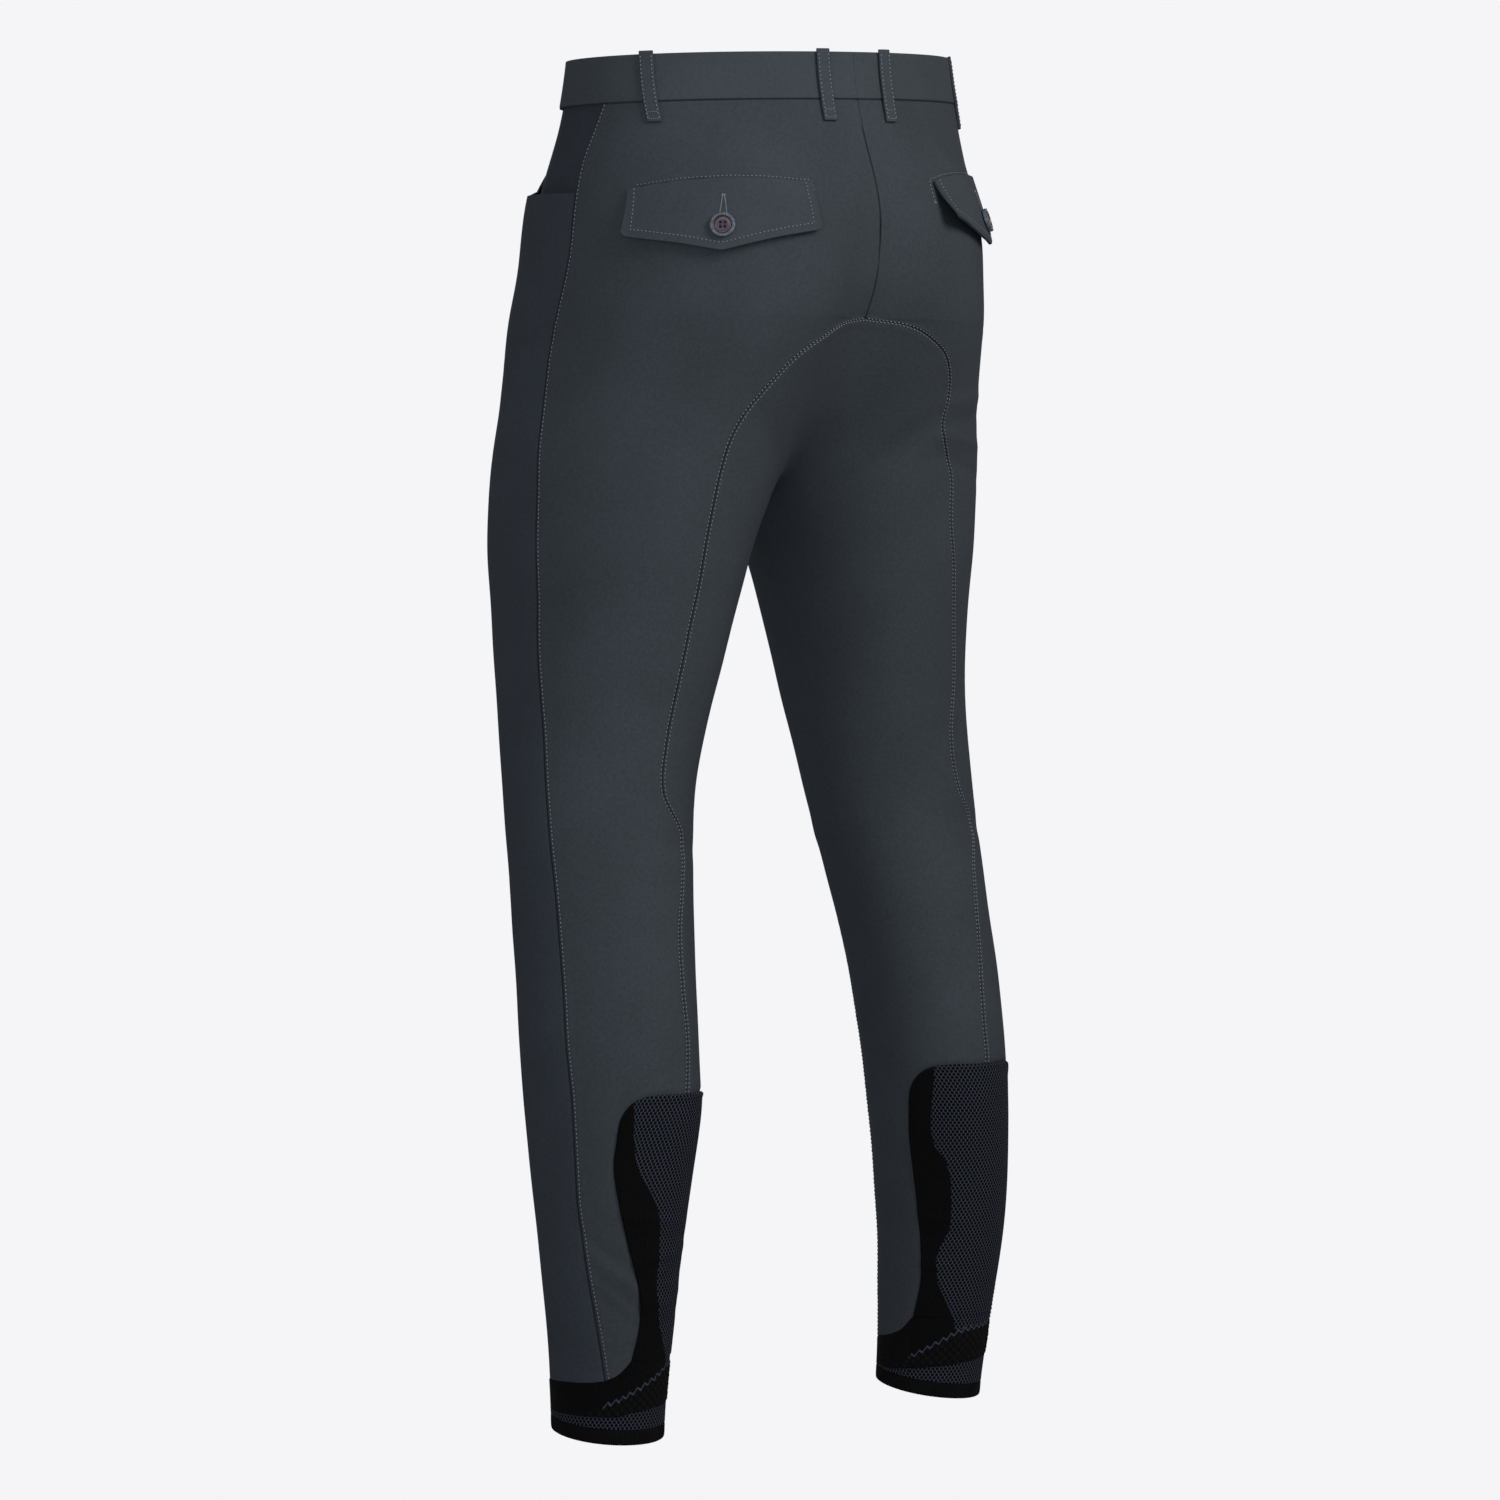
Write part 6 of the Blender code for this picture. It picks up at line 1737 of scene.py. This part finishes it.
# %% Fly
# The fly's facing is caught by one row that runs down beside the opening and curves into it.
FLY_WIDTH, FLY_CURVE_FROM, FLY_END = 34 * MM, -142 * MM, -176 * MM
fly = halves["left"]
fly_height = fly.heights[:, fly.seam_index[FRONT]]
fly_share = np.clip((FLY_CURVE_FROM - fly_height) / (FLY_CURVE_FROM - FLY_END), 0, 1)
fly_offset = -FLY_WIDTH * np.sqrt(1 - fly_share ** 2) - 0.5 * MM
sew_line("fly", fly.line(FRONT, fly_offset, 0, fly.rows[np.searchsorted(-fly_height, -FLY_END)]))

# %% Flap rows
FLAP_INSET, POCKET_ROW_ABOVE, POCKET_ROW_TURN = 5.6 * MM, 2.2 * MM, 3 * MM
# How far the pocket's row stands past the flap's inner end, and how far it runs down there.
POCKET_END = {"left": (1.3 * MM, 8 * MM), "right": (3.0 * MM, 17 * MM)}
BUTTONHOLE = {"above": 22.5 * MM, "below": 3 * MM, "spread": 2.1 * MM, "bite": 1.9 * MM,
              "pitch": 0.62 * MM, "thread": 0.55 * MM}


def flap_inset_row(grid):
    """Fractional rows and columns of the stitching round a flap's free edges."""
    points = grid[0]
    last_row, last_column = points.shape[0] - 1, points.shape[1] - 1
    drop = np.linalg.norm(points[0] - points[-1], axis=-1)
    width = np.linalg.norm(np.diff(points[0], axis=0), axis=-1).sum()
    low = last_row * (1 - FLAP_INSET / drop)
    ends = last_column * np.array([FLAP_INSET / width, 1 - FLAP_INSET / width])
    below = np.linspace(*ends, 160)
    turn = np.interp(below, np.arange(last_column + 1), low)
    rows = np.concatenate([np.linspace(0, turn[0], 30), turn, np.linspace(turn[-1], 0, 30)])
    return rows, np.concatenate([np.full(30, ends[0]), below, np.full(30, ends[1])])


def sew_flap(name, half):
    """Stitching on a flap, round its pocket, and its buttonhole."""
    grid = flap_grids[name]
    sew_line(f"flap_{name}", grid_line(grid, *flap_inset_row(grid)))
    past, row_down = POCKET_END[name]
    inner = FLAP["from"] - past
    arcs = np.concatenate([np.linspace(FLAP["to"] - 6 * MM, inner + POCKET_ROW_TURN, 90),
                           inner + POCKET_ROW_TURN * (1 - np.sin(np.linspace(0.1, 1.5, 8))),
                           np.full(14, inner)])
    top = flap_top(name, arcs) + POCKET_ROW_ABOVE
    fall = np.concatenate([np.zeros(90), POCKET_ROW_TURN * (1 - np.cos(np.linspace(0.1, 1.5, 8))),
                           np.linspace(POCKET_ROW_TURN, row_down, 14)])
    back = bpy.data.objects[f"back_{name}_cloth"]
    line = on_cloth(back, on_skin(half, arcs, top - fall))
    sew_line(f"flap_{name}", line)
    if name == "right":
        tack = on_cloth(back, on_skin(half, np.linspace(inner - 1 * MM, inner + 2 * MM, 5),
                                      np.full(5, top[-1] - row_down)))
        satin(f"flap_{name}", tack, 0.6 * MM, 1.8 * MM, 0.5 * MM)


for name, half in halves.items():
    sew_flap(name, half)

# %% Belt loop rows
LOOP_ROW, LOOP_BOX = 4.0 * MM, (2.0 * MM, 7.5 * MM)
for (name, place), grid in loop_grids.items():
    rows, columns = (size - 1 for size in grid[0].shape[:2])
    length = LOOP["top"] - LOOP["bottom"]
    for side in (-1, 1):
        column = columns * (0.5 + side * LOOP_ROW / LOOP["width"])
        sew_line(f"loops_{name}", grid_line(grid, np.linspace(rows * 0.06, rows * 0.97, 60),
                                            np.full(60, column)))
    for up in LOOP_BOX:
        box = grid_line(grid, np.full(12, rows * (1 - up / length)),
                        columns * (0.5 + np.linspace(-0.34, 0.34, 12)))
        sew_line(f"loops_{name}", box, pitch=1.6 * MM, length=1.5 * MM)

# %% [markdown]
# ## Buttons
# Four-hole buttons turned from cast resin: a pale rim round a darker dish. One is modelled from a
# cylinder by insets that sink or rise, drilled with a Boolean modifier, and copied to its places.

# %% Turned button
BUTTON = {"radius": 8.8 * MM, "height": 2.9 * MM, "rim": 2.0 * MM, "wall": 0.35 * MM,
          "groove": 0.75 * MM, "step": 0.9 * MM, "dish": 0.4 * MM, "hole": 1.05 * MM,
          "hole_place": 1.6 * MM}
# Insets from the rim to the middle, as (width, rise).
BUTTON_TURNS = ((BUTTON["rim"], 0), (BUTTON["wall"], -BUTTON["step"]), (BUTTON["groove"], 0),
                (0.3 * MM, 0.25 * MM), (1.4 * MM, -BUTTON["dish"]), (0.6 * MM, 0.1 * MM))


def select_faces(piece, keep):
    """Select the faces whose centre and normal pass a test, in object mode."""
    bpy.ops.object.mode_set(mode="OBJECT")
    for face in piece.data.polygons:
        face.select = keep(face.center, face.normal)
    bpy.ops.object.mode_set(mode="EDIT")


def turn_button():
    """A button lying flat at the origin, its face up."""
    bpy.ops.object.select_all(action="DESELECT")
    bpy.ops.mesh.primitive_cylinder_add(vertices=72, radius=BUTTON["radius"],
                                        depth=BUTTON["height"],
                                        location=(0, 0, BUTTON["height"] / 2))
    made = bpy.context.object
    bpy.ops.object.transform_apply(location=True)
    bpy.ops.object.mode_set(mode="EDIT")
    bpy.ops.mesh.select_mode(type="FACE")
    select_faces(made, lambda centre, normal: normal.z > 0.9)
    for width, rise in BUTTON_TURNS:
        bpy.ops.mesh.inset(thickness=width, depth=rise)
    bpy.ops.object.mode_set(mode="OBJECT")
    round_edges(made, 0.4 * MM, 20)
    bpy.ops.object.modifier_apply(modifier="turned edge")
    for across in (-1, 1):
        for along in (-1, 1):
            bpy.ops.object.select_all(action="DESELECT")
            bpy.ops.mesh.primitive_cylinder_add(
                vertices=20, radius=BUTTON["hole"], depth=4 * BUTTON["height"],
                location=(across * BUTTON["hole_place"], along * BUTTON["hole_place"], 0))
            drill = bpy.context.object
            bore = made.modifiers.new("hole", "BOOLEAN")
            bore.object = drill
            bore.operation = "DIFFERENCE"
            bore.solver = "EXACT"
            pick(made)
            bpy.ops.object.modifier_apply(modifier=bore.name)
            bpy.data.objects.remove(drill)
    for finish in (rim_resin, groove_painted_shade, dish_resin):
        made.data.materials.append(finish)
    groove = BUTTON["radius"] - BUTTON["rim"] - 0.1 * MM
    dish = groove - BUTTON["wall"] - BUTTON["groove"] + 0.1 * MM
    # Faces in the groove take the second material, its painted shade, and the dish the third.
    for face in made.data.polygons:
        reach = math.hypot(*face.center[:2])
        if face.center.z > 1 * MM and face.normal.z > -0.5:
            face.material_index = int(reach < groove) + int(reach < dish)
    pick(made)
    bpy.ops.object.shade_smooth_by_angle(angle=math.radians(35))
    return made


# %% Buttons in place
def button_seat(node):
    """Place, outward axis and upward axis of a button's solid."""
    spots = np.array([vertex.co[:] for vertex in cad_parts[node].data.vertices])
    middle = (spots.min(0) + spots.max(0)) / 2
    axis = Vector(np.linalg.svd(spots - spots.mean(0))[2][2])
    if axis.dot(Vector((middle[0], middle[1], 0))) < 0:
        axis.negate()
    reach = (spots - middle) @ np.array(axis)
    place = Vector(middle) + axis * float(reach.min())
    upward = (Vector((0, 0, 1)) - axis * axis.z).normalized()
    return place, axis, upward


pattern = turn_button()
for node in ("flap_button_left", "flap_button_right", "waist_button"):
    place, axis, upward = button_seat(node)
    copied = link(node + "_resin", pattern.data.copy(), "button")
    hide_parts(node)
    # A copy is turned and placed in its own mesh, so that its object stays at the origin.
    across = upward.cross(axis)
    turn = np.array([across, upward, axis]).T
    spots = np.array([vertex.co[:] for vertex in copied.data.vertices]) @ turn.T + np.array(place)
    copied.data.vertices.foreach_set("co", spots.ravel())
    copied.data.update()
    for side in (-1, 1):
        spot = place + axis * (BUTTON["height"] - BUTTON["step"] - BUTTON["dish"] + 0.35 * MM)
        spot = spot + across * side * BUTTON["hole_place"]
        for shift in (-0.25, 0.25):
            centre = np.array([spot + across * shift * MM])
            add_stitches("buttons", centre, np.array([upward]), np.array([axis]),
                         length=2 * BUTTON["hole_place"] + 1.2 * MM, thick=0.55 * MM)
    print(node, "at", [round(v * 1000, 1) for v in place], "axis", [round(v, 2) for v in axis])
bpy.data.objects.remove(pattern)

# %% Buttonholes
for name, half in halves.items():
    place, axis, upward = button_seat(f"flap_button_{name}")
    flap = bpy.data.objects[f"flap_{name}_cloth"]
    across = np.array(upward.cross(axis))
    up = np.linspace(BUTTONHOLE["below"], BUTTONHOLE["above"], 24)[:, None]
    middle = np.array(place) + np.array(upward) * up + np.array(axis) * 1.5 * MM
    open_share = np.clip((BUTTONHOLE["above"] - up) / (BUTTONHOLE["above"] - 8 * MM), 0, 1) ** 0.8
    for side in (-1, 1):
        line = on_cloth(flap, middle + across * side * BUTTONHOLE["spread"] * (0.25 + open_share))
        satin(f"buttonhole_{name}", line, BUTTONHOLE["pitch"], BUTTONHOLE["bite"],
              BUTTONHOLE["thread"])
    tack = on_cloth(flap, middle[-1] + across * np.linspace(-1.6, 1.6, 6)[:, None] * MM
                    + np.array(upward) * 0.6 * MM)
    satin(f"buttonhole_{name}", tack, 0.6 * MM, 2.4 * MM, 0.6 * MM)

# %% Sewing as pieces
for group, parts in sewing.items():
    points, shades, faces, start = [], [], [], 0
    for spots, shade, pattern_faces in parts:
        count = spots.shape[1]
        points.append(spots.reshape(-1, 3))
        shades.append(shade.ravel())
        for k in range(len(spots)):
            faces += [tuple(start + k * count + i for i in face) for face in pattern_faces]
        start += len(points[-1])
    mesh = bpy.data.meshes.new(f"{group}_stitches")
    mesh.from_pydata(np.concatenate(points).tolist(), [], faces)
    store(mesh, "shade", np.concatenate(shades))
    mesh.shade_smooth()
    slot = "button" if group == "buttons" else "jersey"
    link(mesh.name, mesh, slot, button_thread if group == "buttons" else sewing_thread)
    print(mesh.name, sum(len(part[0]) for part in parts), "stitches")

# %% Sizes of the sheets
print("sheets:", {name: [round(v, 4) for v in row] for name, row in SHEETS.items()})
